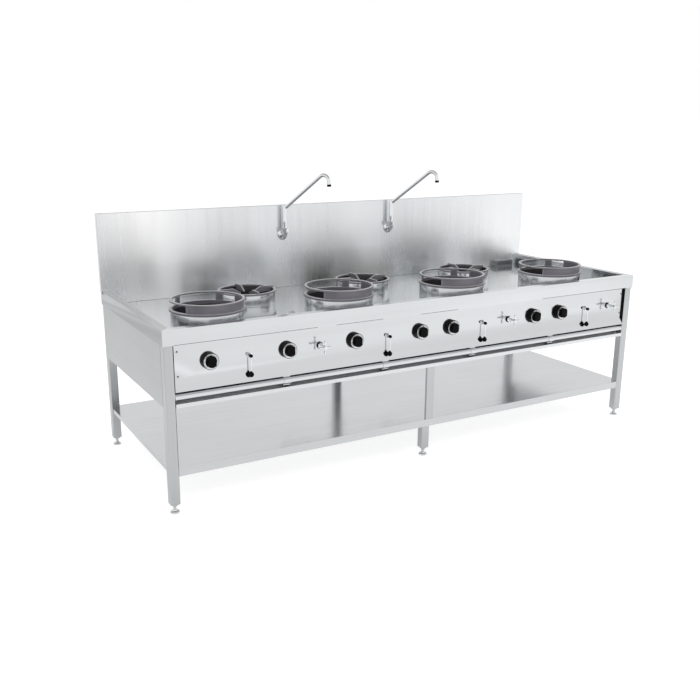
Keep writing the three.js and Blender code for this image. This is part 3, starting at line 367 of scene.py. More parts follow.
looks = {
    "sheetX": brushedSteel("brushed steel along the range", "x", 1.02, 0.11),
    "panel": brushedSteel("control panel steel", "x", 0.97, 0.11),
    "sheetY": brushedSteel("brushed steel front to back", "y", 0.70, 0.16),
    "sheetZ": brushedSteel("brushed steel upright", "z", 0.75, 0.16),
    "shelf": brushedSteel("shelf steel", "x", 0.88, 0.165),
    "splash": brushedSteel("splashback steel", "z", 1.18, 0.28, 0.0, 0.8, paintSplashLight),
    "strainer": brushedSteel("strainer steel", "x", 0.5, 0.2),
    # a darker copy of the splashback steel for its folded edge and upward faces: painted shade
    "edge": brushedSteel("splashback edge painted shade", "x", 0.5, 0.3),
    "collar": brushedSteel("burner collar steel", "z", 0.95, 0.17),
    "chrome": chromePlate("polished chrome", 0.86, 0.05),
    "iron": castIron("cast iron", (0.118, 0.110, 0.138), (0.36, 0.35, 0.37)),
    # a lighter copy of the cast iron for rounded edges and upward faces: partly wear, partly
    # painted highlight
    "wornAndHighlitIron": castIron("rubbed cast iron", (0.30, 0.29, 0.31), (0.5, 0.49, 0.5)),
    "burner": castIron("burner iron", (0.022, 0.018, 0.021), (0.05, 0.047, 0.05)),
    "plastic": blackPlastic("black knob plastic", 0.42),
    "dial": brushedSteel("dial ring", "x", 1.0, 0.3),
    "mark": flatPaint("dial marks", (0.004, 0.004, 0.0045)),
    # a grey for painted shade, used in the gap under the front rail
    "shade": flatPaint("painted shade grey", (0.42, 0.42, 0.43)),
    "brass": brassJet("burner jets"),
    # black rubber, also used for the painted shade strips
    "rubber": blackPlastic("black rubber", 0.5),
}
print("finishes", len(looks))


# mesh helpers

meshRules = {
    "weld": 1e-6,
    "sliver": 1e-12,
    "onAxis": 1e-7,
    "facesUp": 0.9,
    "bevelAngle": 35,
    "bevelSegments": 2,
}


def around(radius, angle, height, axis, centre):
    # a spot round an upright axis, or round one along y
    u, v = radius * math.cos(angle), radius * math.sin(angle)
    spot = Vector((u, v, height)) if axis == "z" else Vector((u, height, -v))
    return spot + Vector(centre)


def hoop(inner, outer, low, high):
    # the profile of a plain ring, or of a rod when inner is 0
    return [(inner, low), (outer, low), (outer, high), (inner, high)]


def turn(bm, profile, steps, centre=(0, 0, 0), axis="z", start=0.0, sweep=360.0, slot=0):
    # turns a profile of (radius, height) points about its axis, all the way or in part
    whole = sweep >= 360
    count = steps if whole else steps + 1
    rings = []
    for i in range(count):
        angle = math.radians(start + sweep * i / steps)
        rings.append([bm.verts.new(around(r, angle, h, axis, centre)) for r, h in profile])
    closed = profile[0][0] > meshRules["onAxis"]
    span = len(profile) if closed else len(profile) - 1
    faces = []
    for i in range(steps):
        near, far = rings[i], rings[(i + 1) % count]
        for j in range(span):
            k = (j + 1) % len(profile)
            faces.append([near[j], far[j], far[k], near[k]])
    if not whole:
        faces += [rings[0], list(reversed(rings[-1]))]
    for corners in faces:
        bm.faces.new(corners).material_index = slot


def skin(bm, rings, slot=0):
    # joins each ring of points to the next
    count = len(rings[0])
    for near, far in zip(rings, rings[1:]):
        for i in range(count):
            k = (i + 1) % count
            bm.faces.new([near[i], near[k], far[k], far[i]]).material_index = slot


def capEnds(bm, rings, slot=0):
    bm.faces.new(list(reversed(rings[0]))).material_index = slot
    bm.faces.new(rings[-1]).material_index = slot


def sweepTube(bm, path, radius, sides, slot=0):
    # a round bar along a path of points, with flat ends
    points = [Vector(p) for p in path]
    radii = radius if isinstance(radius, list) else [radius] * len(points)
    heading = (points[1] - points[0]).normalized()
    across = heading.orthogonal().normalized()
    rings = []
    for i, point in enumerate(points):
        before = points[max(i - 1, 0)]
        after = points[min(i + 1, len(points) - 1)]
        turned = (after - before).normalized()
        across = heading.rotation_difference(turned) @ across
        heading = turned
        up = heading.cross(across)
        ring = []
        for s in range(sides):
            angle = 2 * math.pi * s / sides
            way = math.cos(angle) * across + math.sin(angle) * up
            ring.append(bm.verts.new(point + radii[i] * way))
        rings.append(ring)
    skin(bm, rings, slot)
    capEnds(bm, rings, slot)


def block(bm, low, high, slot=0):
    corners = [
        bm.verts.new((x, y, z))
        for x in (low[0], high[0]) for y in (low[1], high[1]) for z in (low[2], high[2])
    ]
    sides = (0, 1, 3, 2), (4, 6, 7, 5), (0, 4, 5, 1), (2, 3, 7, 6), (0, 2, 6, 4), (1, 5, 7, 3)
    for side in sides:
        bm.faces.new([corners[i] for i in side]).material_index = slot


def prism(bm, outline, thickness, place, slot=0):
    # an outline of (u, v) points, thickened both ways, with place giving each corner's spot
    half = thickness / 2
    sides = [[bm.verts.new(place(u, v, t)) for u, v in outline] for t in (-half, half)]
    capEnds(bm, sides, slot)
    skin(bm, sides, slot)


def hexNut(bm, radius, low, high, centre, axis="z"):
    # a six-sided nut with chamfered corners
    chamfer = radius * 0.12
    small, rise = radius - chamfer, chamfer * 0.6
    levels = (low, small), (low + rise, radius), (high - rise, radius), (high, small)
    rings = []
    for height, size in levels:
        angles = [math.radians(60 * i + 30) for i in range(6)]
        rings.append([bm.verts.new(around(size, a, height, axis, centre)) for a in angles])
    skin(bm, rings)
    capEnds(bm, rings)


def finishPiece(name, bm, body, pieceLooks, stands=(),
                bevel=0.0, smoothAngle=35, paintedEdges=0):
    # the look number given here goes on rounded edges and on faces that look up: on cast iron a
    # lighter copy, partly wear and partly painted highlight; on the splashback a darker copy,
    # painted shade
    bmesh.ops.remove_doubles(bm, verts=bm.verts, dist=meshRules["weld"])
    slivers = [f for f in bm.faces if f.calc_area() < meshRules["sliver"]]
    bmesh.ops.delete(bm, geom=slivers, context="FACES")
    bmesh.ops.recalc_face_normals(bm, faces=bm.faces)
    if paintedEdges:
        for face in bm.faces:
            if face.normal.z > meshRules["facesUp"]:
                face.material_index = paintedEdges
    mesh = bpy.data.meshes.new(name)
    bm.to_mesh(mesh)
    bm.free()
    for look in pieceLooks:
        mesh.materials.append(looks[look])
    piece = bpy.data.objects.new(name, mesh)
    scene.collection.objects.link(piece)
    mesh.shade_smooth()
    mesh.set_sharp_from_angle(angle=math.radians(smoothAngle))
    if bevel:
        rounding = piece.modifiers.new("rounded edges", "BEVEL")
        rounding.width = bevel
        rounding.segments = meshRules["bevelSegments"]
        rounding.limit_method = "ANGLE"
        rounding.angle_limit = math.radians(meshRules["bevelAngle"])
        rounding.harden_normals = True
        if paintedEdges:
            rounding.material = paintedEdges
    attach(piece, body)
    if stands:
        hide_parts(*stands)
    return piece


def middle(node):
    low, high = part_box(node)
    return (Vector(low) + Vector(high)) / 2


# sheet metal: the folded parts with their edges rounded as a press leaves them

sheetParts = {
    "leg_front_left": ("sheetZ", 0.0015), "leg_front_right": ("sheetZ", 0.0015),
    "leg_rear_left": ("sheetZ", 0.0015), "leg_rear_right": ("sheetZ", 0.0015),
    "leg_front_middle": ("sheetZ", 0.0015), "leg_rear_middle": ("sheetZ", 0.0015),
    "front_middle_post": ("sheetZ", 0.0008),
    "under_shelf": ("shelf", 0.0009),
    "control_panel": ("panel", 0.0008),
    "side_panel_left": ("sheetY", 0.0008), "side_panel_right": ("sheetY", 0.0008),
    "rear_panel": ("sheetX", 0.0008),
    "lower_front_angle": ("sheetX", 0.0008),
    "backsplash": ("splash", 0.0009),
    "frame_rails": ("sheetX", 0.0008),
    "drain_strainer": ("strainer", 0.0006),
}
flatWithin = math.radians(0.6)


def foldedSheet(node, look, rounding):
    bm = bmesh.new()
    bm.from_mesh(nodes[node].data)
    bmesh.ops.remove_doubles(bm, verts=bm.verts, dist=meshRules["weld"])
    bmesh.ops.dissolve_limit(bm, angle_limit=flatWithin, verts=bm.verts, edges=bm.edges)
    body = nodes[node]["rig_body"]
    shadedEdge = node == "backsplash"  # its folded edge and upward faces get a darker copy of its steel: painted shade
    pieceLooks = [look, "edge"] if shadedEdge else [look]
    return finishPiece("dressed_" + node, bm, body, pieceLooks, [node],
                       rounding, paintedEdges=int(shadedEdge))


for sheetName, (sheetLook, sheetRounding) in sheetParts.items():
    sheet = foldedSheet(sheetName, sheetLook, sheetRounding)
    sheet.visible_glossy = sheetName != "rear_panel"  # the shelf mirrors the room behind
print("sheet metal", len(sheetParts))


# the worktop: rim, skirt and well pressed from one sheet, with a collar round each burner

topSheet = {
    "rim": 0.040,
    "sheet": 0.002,
    "skirt": 0.071,
    "well": 0.068,
    "splash": 0.030,
    "gap": 0.0003,
    "edge": 0.0035,
    "edgeSegments": 3,
    "foldAngle": 0.5,
    "holes": {"wok": 0.120, "pot": 0.095, "drain": 0.018},
}
collars = {
    "wok": (0.175, 0.0655),
    "pot": (0.149, 0.059),
    "steps": 128,
    "sunk": 0.001,
    "lip": 0.0012,
    "lipEdge": (0.0004, 0.0003),
    "weld": ((-0.0004, -0.0002), (0.0016, 0.0001), (0.0010, 0.0008), (-0.0004, 0.0016)),
}
wokNames = [f"wok_ring_{i}" for i in range(1, 5)]
potNames = [f"pot_grid_{i}" for i in range(1, 4)]


def circleEdges(bm, centre, radius, height, steps=64):
    ring = []
    for i in range(steps):
        angle = 2 * math.pi * i / steps
        spot = (centre.x + radius * math.cos(angle), centre.y + radius * math.sin(angle), height)
        ring.append(bm.verts.new(spot))
    return [bm.edges.new((ring[i], ring[(i + 1) % steps])) for i in range(steps)]


def pressedTop():
    low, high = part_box("worktop")
    top = high.z
    skirtFoot = top - topSheet["skirt"]
    floor = top - topSheet["well"]
    rim, edge, holes = topSheet["rim"], topSheet["edge"], topSheet["holes"]
    wellBack = high.y - topSheet["splash"] + topSheet["sheet"] + topSheet["gap"]
    outer = (low.x, high.x, low.y, high.y)
    inner = (low.x + rim, high.x - rim, low.y + rim, wellBack)
    bm = bmesh.new()

    def corners(box, height):
        x0, x1, y0, y1 = box
        spots = (x0, y1), (x0, y0), (x1, y0), (x1, y1)
        return [bm.verts.new((*spot, height)) for spot in spots]

    foot, crown = corners(outer, skirtFoot), corners(outer, top)
    lip, base = corners(inner, top), corners(inner, floor)
    for i in range(3):
        bm.faces.new([foot[i], foot[i + 1], crown[i + 1], crown[i]])
    for i in range(4):
        k = (i + 1) % 4
        bm.faces.new([crown[i], crown[k], lip[k], lip[i]])
        bm.faces.new([lip[i], lip[k], base[k], base[i]])
    bm.faces.new(base)
    folded = topSheet["foldAngle"]
    folds = [e for e in bm.edges if len(e.link_faces) == 2 and e.calc_face_angle(0) > folded]
    bmesh.ops.bevel(bm, geom=folds, offset=edge, segments=topSheet["edgeSegments"],
                    profile=0.5, affect="EDGES")
    # the well's floor is cut again with its holes
    sunk = top - topSheet["well"] / 2
    level = [f for f in bm.faces if abs(f.normal.z) > 0.99 and f.calc_center_median().z < sunk]
    floorFace = max(level, key=lambda f: f.calc_area())
    boundary = list(floorFace.edges)
    bmesh.ops.delete(bm, geom=[floorFace], context="FACES_ONLY")
    for kind, names in (("wok", wokNames), ("pot", potNames)):
        for name in names:
            boundary += circleEdges(bm, middle(name), holes[kind], floor)
    boundary += circleEdges(bm, middle("drain_strainer"), holes["drain"], floor, 24)
    bmesh.ops.triangle_fill(bm, edges=boundary, use_beauty=True, use_dissolve=True)
    # the side rims are brushed from front to back
    for face in bm.faces:
        if not inner[0] - edge < face.calc_center_median().x < inner[1] + edge:
            face.material_index = 1
    piece = finishPiece("pressed_top", bm, rootBody, ["sheetX", "sheetY"],
                        ["worktop"], smoothAngle=30)
    wall = piece.modifiers.new("sheet", "SOLIDIFY")
    wall.thickness = topSheet["sheet"]
    wall.offset = -1
    even = piece.modifiers.new("even shading", "WEIGHTED_NORMAL")
    even.keep_sharp = True


def burnerCollar(kind, name, number):
    radius, height = collars[kind]
    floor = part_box("worktop")[1].z - topSheet["well"]
    top, wall = floor + height, topSheet["sheet"]
    edgeIn, edgeDown = collars["lipEdge"]
    centre = (middle(name).x, middle(name).y, 0)
    bm = bmesh.new()
    turn(bm, [
        (radius - wall, floor - collars["sunk"]), (radius, floor - collars["sunk"]),
        (radius, top - collars["lip"]), (radius - edgeIn, top - edgeDown), (radius - wall / 2, top),
        (radius - wall + edgeIn, top - edgeDown), (radius - wall, top - collars["lip"]),
    ], collars["steps"], centre)
    # its inside is sooty
    for face in bm.faces:
        spot = face.calc_center_median()
        if math.hypot(spot.x - centre[0], spot.y - centre[1]) < radius - wall + edgeIn / 2:
            face.material_index = 1
    weld = [(radius + out, floor + up) for out, up in collars["weld"]]
    turn(bm, weld, collars["steps"], centre)
    finishPiece(f"{kind}_collar_{number}", bm, rootBody, ["collar", "burner"],
                smoothAngle=40)


pressedTop()
for wokNumber, wokName in enumerate(wokNames, 1):
    burnerCollar("wok", wokName, wokNumber)
for potNumber, potName in enumerate(potNames, 1):
    burnerCollar("pot", potName, potNumber)
print("worktop and collars")


# cast wok rings and pot grids

wokRing = {
    "steps": 144,
    "lip": (0.165, 0.1705, 0.008),
    "lowerFlange": (0.1645, 0.180, 0.011),
    "web": (0.1645, 0.171),
    "upperFlange": (0.164, 0.177, 0.0085),
    "webArcs": [(214, 163), (41.5, 14), (121, 12)],
    "overlap": 0.001,
    "rounding": 0.0019,
}


def castRing(name, number):
    low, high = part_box(name)
    centre = (middle(name).x, middle(name).y, 0)
    lipIn, lipOut, lipDrop = wokRing["lip"]
    flangeIn, flangeOut, flangeHeight = wokRing["lowerFlange"]
    topIn, topOut, topHeight = wokRing["upperFlange"]
    base = low.z + lipDrop
    shoulder = base + flangeHeight
    underTop = high.z - topHeight
    bm = bmesh.new()
    turn(bm, [
        (lipIn, low.z), (lipOut, low.z), (lipOut, base), (flangeOut, base),
        (flangeOut, shoulder), (flangeIn, shoulder),
    ], wokRing["steps"], centre)
    turn(bm, hoop(topIn, topOut, underTop, high.z), wokRing["steps"], centre)
    web = hoop(*wokRing["web"], shoulder - wokRing["overlap"], underTop + wokRing["overlap"])
    for start, sweep in wokRing["webArcs"]:
        steps = max(4, round(wokRing["steps"] * sweep / 360))
        turn(bm, web, steps, centre, "z", start, sweep)
    finishPiece(f"cast_wok_ring_{number}", bm, name, ["iron", "wornAndHighlitIron"], [name],
                wokRing["rounding"], 30, 1)


potGrid = {
    "steps": 128,
    "ring": (0.140, 0.154, 0.0095),
    "finRise": 0.0095,
    "finDrop": 0.0215,
    "finThickness": 0.008,
    "finGap": 0.0005,
    "finInset": 0.0015,
    "shoulder": 0.078,
    "tip": 0.035,
    "tipDrop": 0.023,
    "angles": (0, 90, 180, 270),
    "overlap": 0.001,
    "rounding": 0.0016,
}


def finnedGrid(name, number):
    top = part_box(name)[1].z
    spot = middle(name)
    inner, outer, thickness = potGrid["ring"]
    ringTop = top - potGrid["finRise"]
    ringFoot = ringTop - thickness
    bm = bmesh.new()
    turn(bm, hoop(inner, outer, ringFoot, ringTop), potGrid["steps"], (spot.x, spot.y, 0))
    foot, saddle = ringTop - potGrid["finDrop"], ringFoot + potGrid["overlap"]
    tip, rim, step = potGrid["tip"], outer - potGrid["finInset"], inner - potGrid["finGap"]
    outline = [
        (tip, foot), (step, foot), (step, saddle), (rim, saddle),
        (rim, top), (potGrid["shoulder"], top), (tip, top - potGrid["tipDrop"]),
    ]
    for angle in potGrid["angles"]:
        c, s = math.cos(math.radians(angle)), math.sin(math.radians(angle))
        prism(bm, outline, potGrid["finThickness"], lambda u, v, t: (
            spot.x + u * c - t * s, spot.y + u * s + t * c, v))
    finishPiece(f"cast_pot_grid_{number}", bm, name, ["iron", "wornAndHighlitIron"], [name],
                potGrid["rounding"], 30, 1)


for wokNumber, wokName in enumerate(wokNames, 1):
    castRing(wokName, wokNumber)
for potNumber, potName in enumerate(potNames, 1):
    finnedGrid(potName, potNumber)
print("rings and grids")


# brass jets on the wok burners' heads

burnerJets = {"circle": 0.055, "count": 10, "radius": 0.0042, "height": 0.012, "sunk": 0.007}


def jetCircle(number):
    name = f"wok_burner_{number}"
    spot = middle(name)
    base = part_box(name)[1].z - burnerJets["sunk"]
    radius, height = burnerJets["radius"], burnerJets["height"]
    jet = [
        (0, base), (radius, base), (radius, base + height * 0.5),
        (radius * 0.6, base + height * 0.75), (0, base + height * 0.75),
    ]
    bm = bmesh.new()
    for i in range(burnerJets["count"]):
        angle = 2 * math.pi * (i + 0.5) / burnerJets["count"]
        x = spot.x + burnerJets["circle"] * math.cos(angle)
        y = spot.y + burnerJets["circle"] * math.sin(angle)
        turn(bm, jet, 12, (x, y, 0))
    finishPiece(f"wok_burner_jets_{number}", bm, rootBody, ["brass"], smoothAngle=40)


for wokNumber in range(1, 5):
    jetCircle(wokNumber)
print("burners")


# front rail

def roundRail():
    low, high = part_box("front_rail")
    radius = (high.z - low.z) / 2
    centre = middle("front_rail")
    bm = bmesh.new()
    sweepTube(bm, [(x, centre.y, centre.z) for x in (low.x, 0, high.x)], radius, 48)
    finishPiece("round_front_rail", bm, rootBody, ["sheetX"], ["front_rail"],
                smoothAngle=40)


roundRail()


# knobs: a black body, a silver dial ring with marks and a grip with two flats

knob = {
    "steps": 64,
    "body": 0.038,
    "backEdge": 0.001,
    "chamfer": 0.002,
    "chamferBend": (0.0006, 0.0012),
    "grip": 0.0267,
    "gripTip": 0.0249,
    "gripLength": 0.017,
    "flat": 0.0188,
    "ring": (0.0272, 0.0354),
    "ringProud": 0.0006,
    "ringSunk": 0.0004,
    "marks": 25,
    "markSweep": 270,
    "markInset": (0.0012, 0.0008),
    "markWidths": {"plain": 0.0011, "fourth": 0.0018, "top": 0.0034},
    "markThickness": 0.0003,
    "markProud": 0.0007,
}
knobNames = [f"knob_{i}" for i in range(1, 8)]


def knobGrip(bm, spot, front, face):
    # a round tapered stub cut by two flats
    grip, tip, flat, steps = knob["grip"], knob["gripTip"], knob["flat"], knob["steps"]
    levels = [
        (face + 0.0002, grip), (face - 0.002, grip),
        (front + 0.0018, tip + 0.0006), (front + 0.0005, tip), (front, tip - 0.0016),
    ]
    rings = []
    for depth, radius in levels:
        ring = []
        for i in range(steps):
            angle = 2 * math.pi * i / steps
            u = radius * math.cos(angle)
            if depth < face - 0.001:
                u = max(-flat, min(flat, u))
            ring.append(bm.verts.new((spot.x + u, depth, spot.z + radius * math.sin(angle))))
        rings.append(ring)
    skin(bm, rings)
    bm.faces.new(rings[-1])


def dialMarks(bm, spot, face):
    ringIn, ringOut = knob["ring"]
    start, end = ringIn + knob["markInset"][0], ringOut - knob["markInset"][1]
    widths, last = knob["markWidths"], knob["marks"] - 1
    for i in range(knob["marks"]):
        turned = math.radians(90 - knob["markSweep"] / 2 + knob["markSweep"] * i / last)
        c, s = math.cos(turned), math.sin(turned)
        kind = "plain" if i % 4 else "fourth"
        half = widths["top" if i * 2 == last else kind] / 2
        outline = [(start, -half), (end, -half), (end, half), (start, half)]
        prism(bm, outline, knob["markThickness"], lambda u, v, t: (
            spot.x + u * c - v * s, face - knob["markProud"] + t, spot.z + u * s + v * c), 2)


def gasKnob(name):
    low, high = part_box(name)
    spot = middle(name)
    centre = (spot.x, 0, spot.z)
    front, back = low.y, high.y
    face = front + knob["gripLength"]
    body, chamfer, backEdge = knob["body"], knob["chamfer"], knob["backEdge"]
    bendIn, bendBack = knob["chamferBend"]
    bm = bmesh.new()
    turn(bm, [
        (0, back), (body - backEdge, back), (body, back - backEdge), (body, face + chamfer),
        (body - bendIn, face + bendBack), (body - chamfer, face), (0, face),
    ], knob["steps"], centre, "y")
    ringIn, ringOut = knob["ring"]
    ringBack, ringFront = face + knob["ringSunk"], face - knob["ringProud"]
    turn(bm, [
        (ringIn, ringBack), (ringIn, ringFront), (ringOut, ringFront), (ringOut, ringBack),
    ], knob["steps"], centre, "y", slot=1)
    knobGrip(bm, spot, front, face)
    dialMarks(bm, spot, face)
    finishPiece("gas_" + name, bm, name, ["plastic", "dial", "mark"], [name],
                smoothAngle=30)


for knobName in knobNames:
    gasKnob(knobName)
print("knobs")


# levers with a hanging ball

lever = {
    "hub": 0.0078,
    "hubHalf": 0.007,
    "hubBelowTop": 0.008,
    "rod": 0.0030,
    "ball": 0.0125,
    "sleeve": 0.0046,
    "sleeveRise": 0.004,
    "sleeveEdge": (0.0008, 0.001),
}
leverNames = [f"lever_{i}" for i in range(1, 5)]


def hangingLever(name):
    low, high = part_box(name)
    spot = middle(name)
    hub, ball, sleeve = lever["hub"], lever["ball"], lever["sleeve"]
    axle = high.z - lever["hubBelowTop"]
    hubBack, hubFront = spot.y + lever["hubHalf"], spot.y - lever["hubHalf"]
    ballMiddle = low.z + ball
    bm = bmesh.new()
    turn(bm, [
        (0, hubBack), (hub - 0.001, hubBack), (hub, hubBack - 0.001),
        (hub, hubFront + 0.0015), (hub - 0.0015, hubFront), (0.0035, hubFront),
        (0.003, hubFront - 0.0006), (0, hubFront - 0.0008),
    ], 32, (spot.x, 0, axle), "y", slot=1)
    rod = [(spot.x, spot.y, axle - 0.003), (spot.x, spot.y, ballMiddle)]
    sweepTube(bm, rod, lever["rod"], 20)
    edgeIn, edgeDown = lever["sleeveEdge"]
    sleeveTop, sleeveFoot = ballMiddle + ball + lever["sleeveRise"], ballMiddle + ball * 0.8
    turn(bm, [
        (0, sleeveTop), (sleeve - edgeIn, sleeveTop), (sleeve, sleeveTop - edgeDown),
        (sleeve, sleeveFoot), (0, sleeveFoot),
    ], 24, (spot.x, spot.y, 0), slot=1)
    arc = [(0, ballMiddle - ball)]
    for i in range(1, 20):
        angle = math.pi * i / 20
        arc.append((ball * math.sin(angle), ballMiddle - ball * math.cos(angle)))
    arc.append((0, ballMiddle + ball))
    turn(bm, arc, 32, (spot.x, spot.y, 0), slot=1)
    finishPiece("hanging_" + name, bm, name, ["chrome", "plastic"], [name])


for leverName in leverNames:
    hangingLever(leverName)


# cross-handle taps, each with a dark packing ring where it comes through the panel

crossHandle = {
    "arm": 0.0036,
    "tip": 0.0050,
    "hub": 0.0090,
    "armsBehind": 0.0075,
    "packing": (0.0165, 0.005),
    "panelDepth": 0.014,
}
crossNames = [f"cross_handle_{i}" for i in range(1, 4)]


def crossTap(name):
    low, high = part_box(name)
    spot = middle(name)
    half = (high.x - low.x) / 2
    front, back = low.y, high.y
    centre = Vector((spot.x, back - crossHandle["armsBehind"], spot.z))
    hub, arm, tip = crossHandle["hub"], crossHandle["arm"], crossHandle["tip"]
    bm = bmesh.new()
    turn(bm, [
        (0, back), (hub - 0.001, back), (hub, back - 0.001), (hub, front + 0.0045),
        (hub * 0.9, front + 0.003), (hub * 0.62, front + 0.0026), (hub * 0.58, front + 0.0008),
        (hub * 0.3, front), (0, front),
    ], 40, (spot.x, 0, spot.z), "y")
    # each arm is slim in the middle and swells to a round tip
    reaches = [0.002, 0.010, half * 0.55] + [half - tip * n for n in (1.6, 0.8, 0.3, 0.08, 0)]
    widths = [arm * n for n in (1.15, 0.95, 1)] + [tip * n for n in (0.92, 1, 0.86, 0.5, 0.12)]
    for quarter in range(4):
        angle = math.pi / 2 * quarter
        way = Vector((math.cos(angle), 0, math.sin(angle)))
        sweepTube(bm, [centre + way * reach for reach in reaches], widths, 20)
    finishPiece("tap_" + name, bm, name, ["chrome"], [name])


def packingRings():
    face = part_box("control_panel")[0].y + crossHandle["panelDepth"]
    ring, depth = crossHandle["packing"]
    profile = [
        (0, face), (ring, face), (ring, face - depth + 0.001),
        (ring - 0.001, face - depth), (0, face - depth),
    ]
    bm = bmesh.new()
    for name in crossNames:
        turn(bm, profile, 32, (middle(name).x, 0, middle(name).z), "y")
    finishPiece("packing_rings", bm, rootBody, ["rubber"])


for crossName in crossNames:
    crossTap(crossName)
packingRings()
print("levers and taps")


# faucets: wall elbow, union nut, riser and swinging spout

faucet = {
    "offWall": 0.032,
    "flange": 0.031,
    "elbow": 0.0165,
    "elbowBend": 0.016,
    "riser": 0.0140,
    "riserTop": 1.250,
    "plug": (0.010, 0.020),
    "pipe": 0.0101,
    "rise": 37,
    "swing": 27,
    "length": 0.305,
    "bend": 0.034,
    "tipDrop": 0.026,
    "tipLean": 5,
    "root": 1.234,
    "socket": 1.100,
    "union": (0.0205, 1.1235),
    "wall": 1.084,
    "tail": 0.011,
    "wallNut": (0.017, 0.0023, 0.0083),
    "mouth": ((0.009, 0.0104), (0.0085, 0.0112), (-0.0022, 0.0112), (-0.003, 0.0104)),
    "rubber": ((0.0028, 0.0031), 0.0090),
}


def wallBody(side):
    name = "faucet_body_" + side
    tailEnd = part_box(name)[1].y
    x = middle(name).x
    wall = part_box("backsplash")[0].y
    axisY = wall - faucet["offWall"]
    z = faucet["wall"]
    flange, elbow, curve = faucet["flange"], faucet["elbow"], faucet["elbowBend"]
    bm = bmesh.new()
    turn(bm, [
        (0, wall - 0.0003), (flange, wall - 0.0003), (flange, wall - 0.0016),
        (flange * 0.93, wall - 0.0034), (flange * 0.78, wall - 0.0052),
        (elbow + 0.003, wall - 0.0068), (elbow + 0.001, wall - 0.0074), (0, wall - 0.0074),
    ], 56, (x, 0, z), "y")
    bend = [(x, wall - 0.002, z), (x, axisY + curve, z)]
    for i in range(1, 9):
        angle = math.pi / 2 * i / 8
        y = axisY + curve - curve * math.sin(angle)
        bend.append((x, y, z + curve - curve * math.cos(angle)))
    bend.append((x, axisY, faucet["socket"] + 0.002))
    sweepTube(bm, bend, elbow * 0.94, 32)
    hexNut(bm, faucet["union"][0], faucet["socket"], faucet["union"][1], (x, axisY, 0))
    turn(bm, hoop(0, faucet["tail"], wall - 0.001, tailEnd), 24, (x, 0, z), "y")
    nut, nutFront, nutBack = faucet["wallNut"]
    hexNut(bm, nut, wall + nutFront, wall + nutBack, (x, 0, z), "y")
    finishPiece("wall_" + name, bm, rootBody, ["chrome"], [name], 0.0004)


def spoutPath(x, axisY):
    # drawn in the spout's own plane and swung round the riser
    rise, fall = math.radians(faucet["rise"]), math.radians(faucet["tipLean"] - 90)
    length, bend, drop = faucet["length"], faucet["bend"], faucet["tipDrop"]
    swing = math.radians(faucet["swing"])
    start = (length * math.cos(rise), faucet["root"] + length * math.sin(rise))
    flat = [(0.0, faucet["root"]), start]
    for i in range(1, 21):
        heading = rise + (fall - rise) * i / 20
        flat.append((start[0] + bend * (math.sin(rise) - math.sin(heading)),
                     start[1] - bend * (math.cos(rise) - math.cos(heading))))
    end = flat[-1]
    flat.append((end[0] + drop * math.cos(fall), end[1] + drop * math.sin(fall)))
    return [Vector((x + out * math.sin(swing), axisY - out * math.cos(swing), height))
            for out, height in flat]


def swingSpout(side):
    name = "spout_" + side
    x = middle("faucet_body_" + side).x
    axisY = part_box("backsplash")[0].y - faucet["offWall"]
    path = spoutPath(x, axisY)
    riser, top, foot = faucet["riser"], faucet["riserTop"], faucet["union"][1] + 0.0008
    plug, plugDrop = faucet["plug"]
    bm = bmesh.new()
    turn(bm, [
        (0, foot - plugDrop), (plug, foot - plugDrop), (plug, foot), (riser - 0.001, foot),
        (riser, foot + 0.001), (riser, top - 0.006), (riser - 0.001, top - 0.0025),
        (riser - 0.004, top - 0.0005), (0, top),
    ], 48, (x, axisY, 0))
    # a bead near its foot
    turn(bm, [
        (riser - 0.0005, foot + 0.012), (riser + 0.0013, foot + 0.0125),
        (riser + 0.0013, foot + 0.0155), (riser - 0.0005, foot + 0.016),
    ], 48, (x, axisY, 0))
    sweepTube(bm, path, faucet["pipe"], 32)
    upward = (path[-2] - path[-1]).normalized()
    mouth = [path[-1] + upward * rise for rise, _ in faucet["mouth"]]
    sweepTube(bm, mouth, [radius for _, radius in faucet["mouth"]], 32, 1)
    drops, radius = faucet["rubber"]
    sweepTube(bm, [path[-1] - upward * drop for drop in drops], radius, 28, 1)
    finishPiece("swing_" + name, bm, name, ["chrome", "rubber"], [name])


for faucetSide in ("left", "right"):
    wallBody(faucetSide)
    swingSpout(faucetSide)
print("faucets")


# feet: pad, shoulder and a threaded stem up into the leg

footShape = {
    "pad": 0.022,
    "hub": 0.012,
    "stem": 0.0078,
    "thread": (0.0235, 0.058),
    "threadPitch": 0.002,
    "threadDepth": 0.0007,
}
footNames = [name for name in nodes if name.startswith("foot_")]


def screwFoot(name):
    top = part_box(name)[1].z
    spot = middle(name)
    pad, hub, stem = footShape["pad"], footShape["hub"], footShape["stem"]
    height, threadTop = footShape["thread"]
    root, pitch = stem - footShape["threadDepth"], footShape["threadPitch"]
    profile = [
        (0, 0), (pad - 0.0012, 0), (pad, 0.0012), (pad, 0.0082), (pad - 0.001, 0.0096),
        (hub + 0.002, 0.0128), (hub, 0.0140), (stem + 0.0012, 0.0215), (stem, 0.0225),
    ]
    while height < threadTop:
        profile += [(stem, height), (root, height + pitch / 2)]
        height += pitch
    profile += [(stem, height), (stem, top), (0, top)]
    bm = bmesh.new()
    turn(bm, profile, 32, (spot.x, spot.y, 0))
    finishPiece("screw_" + name, bm, name, ["chrome"], [name])


for footName in footNames:
    screwFoot(footName)
print("feet", len(footNames))


# flush nozzle

nozzle = {"stem": 0.008, "nut": 0.0144, "nutFoot": 0.001, "nutTop": 0.0026}


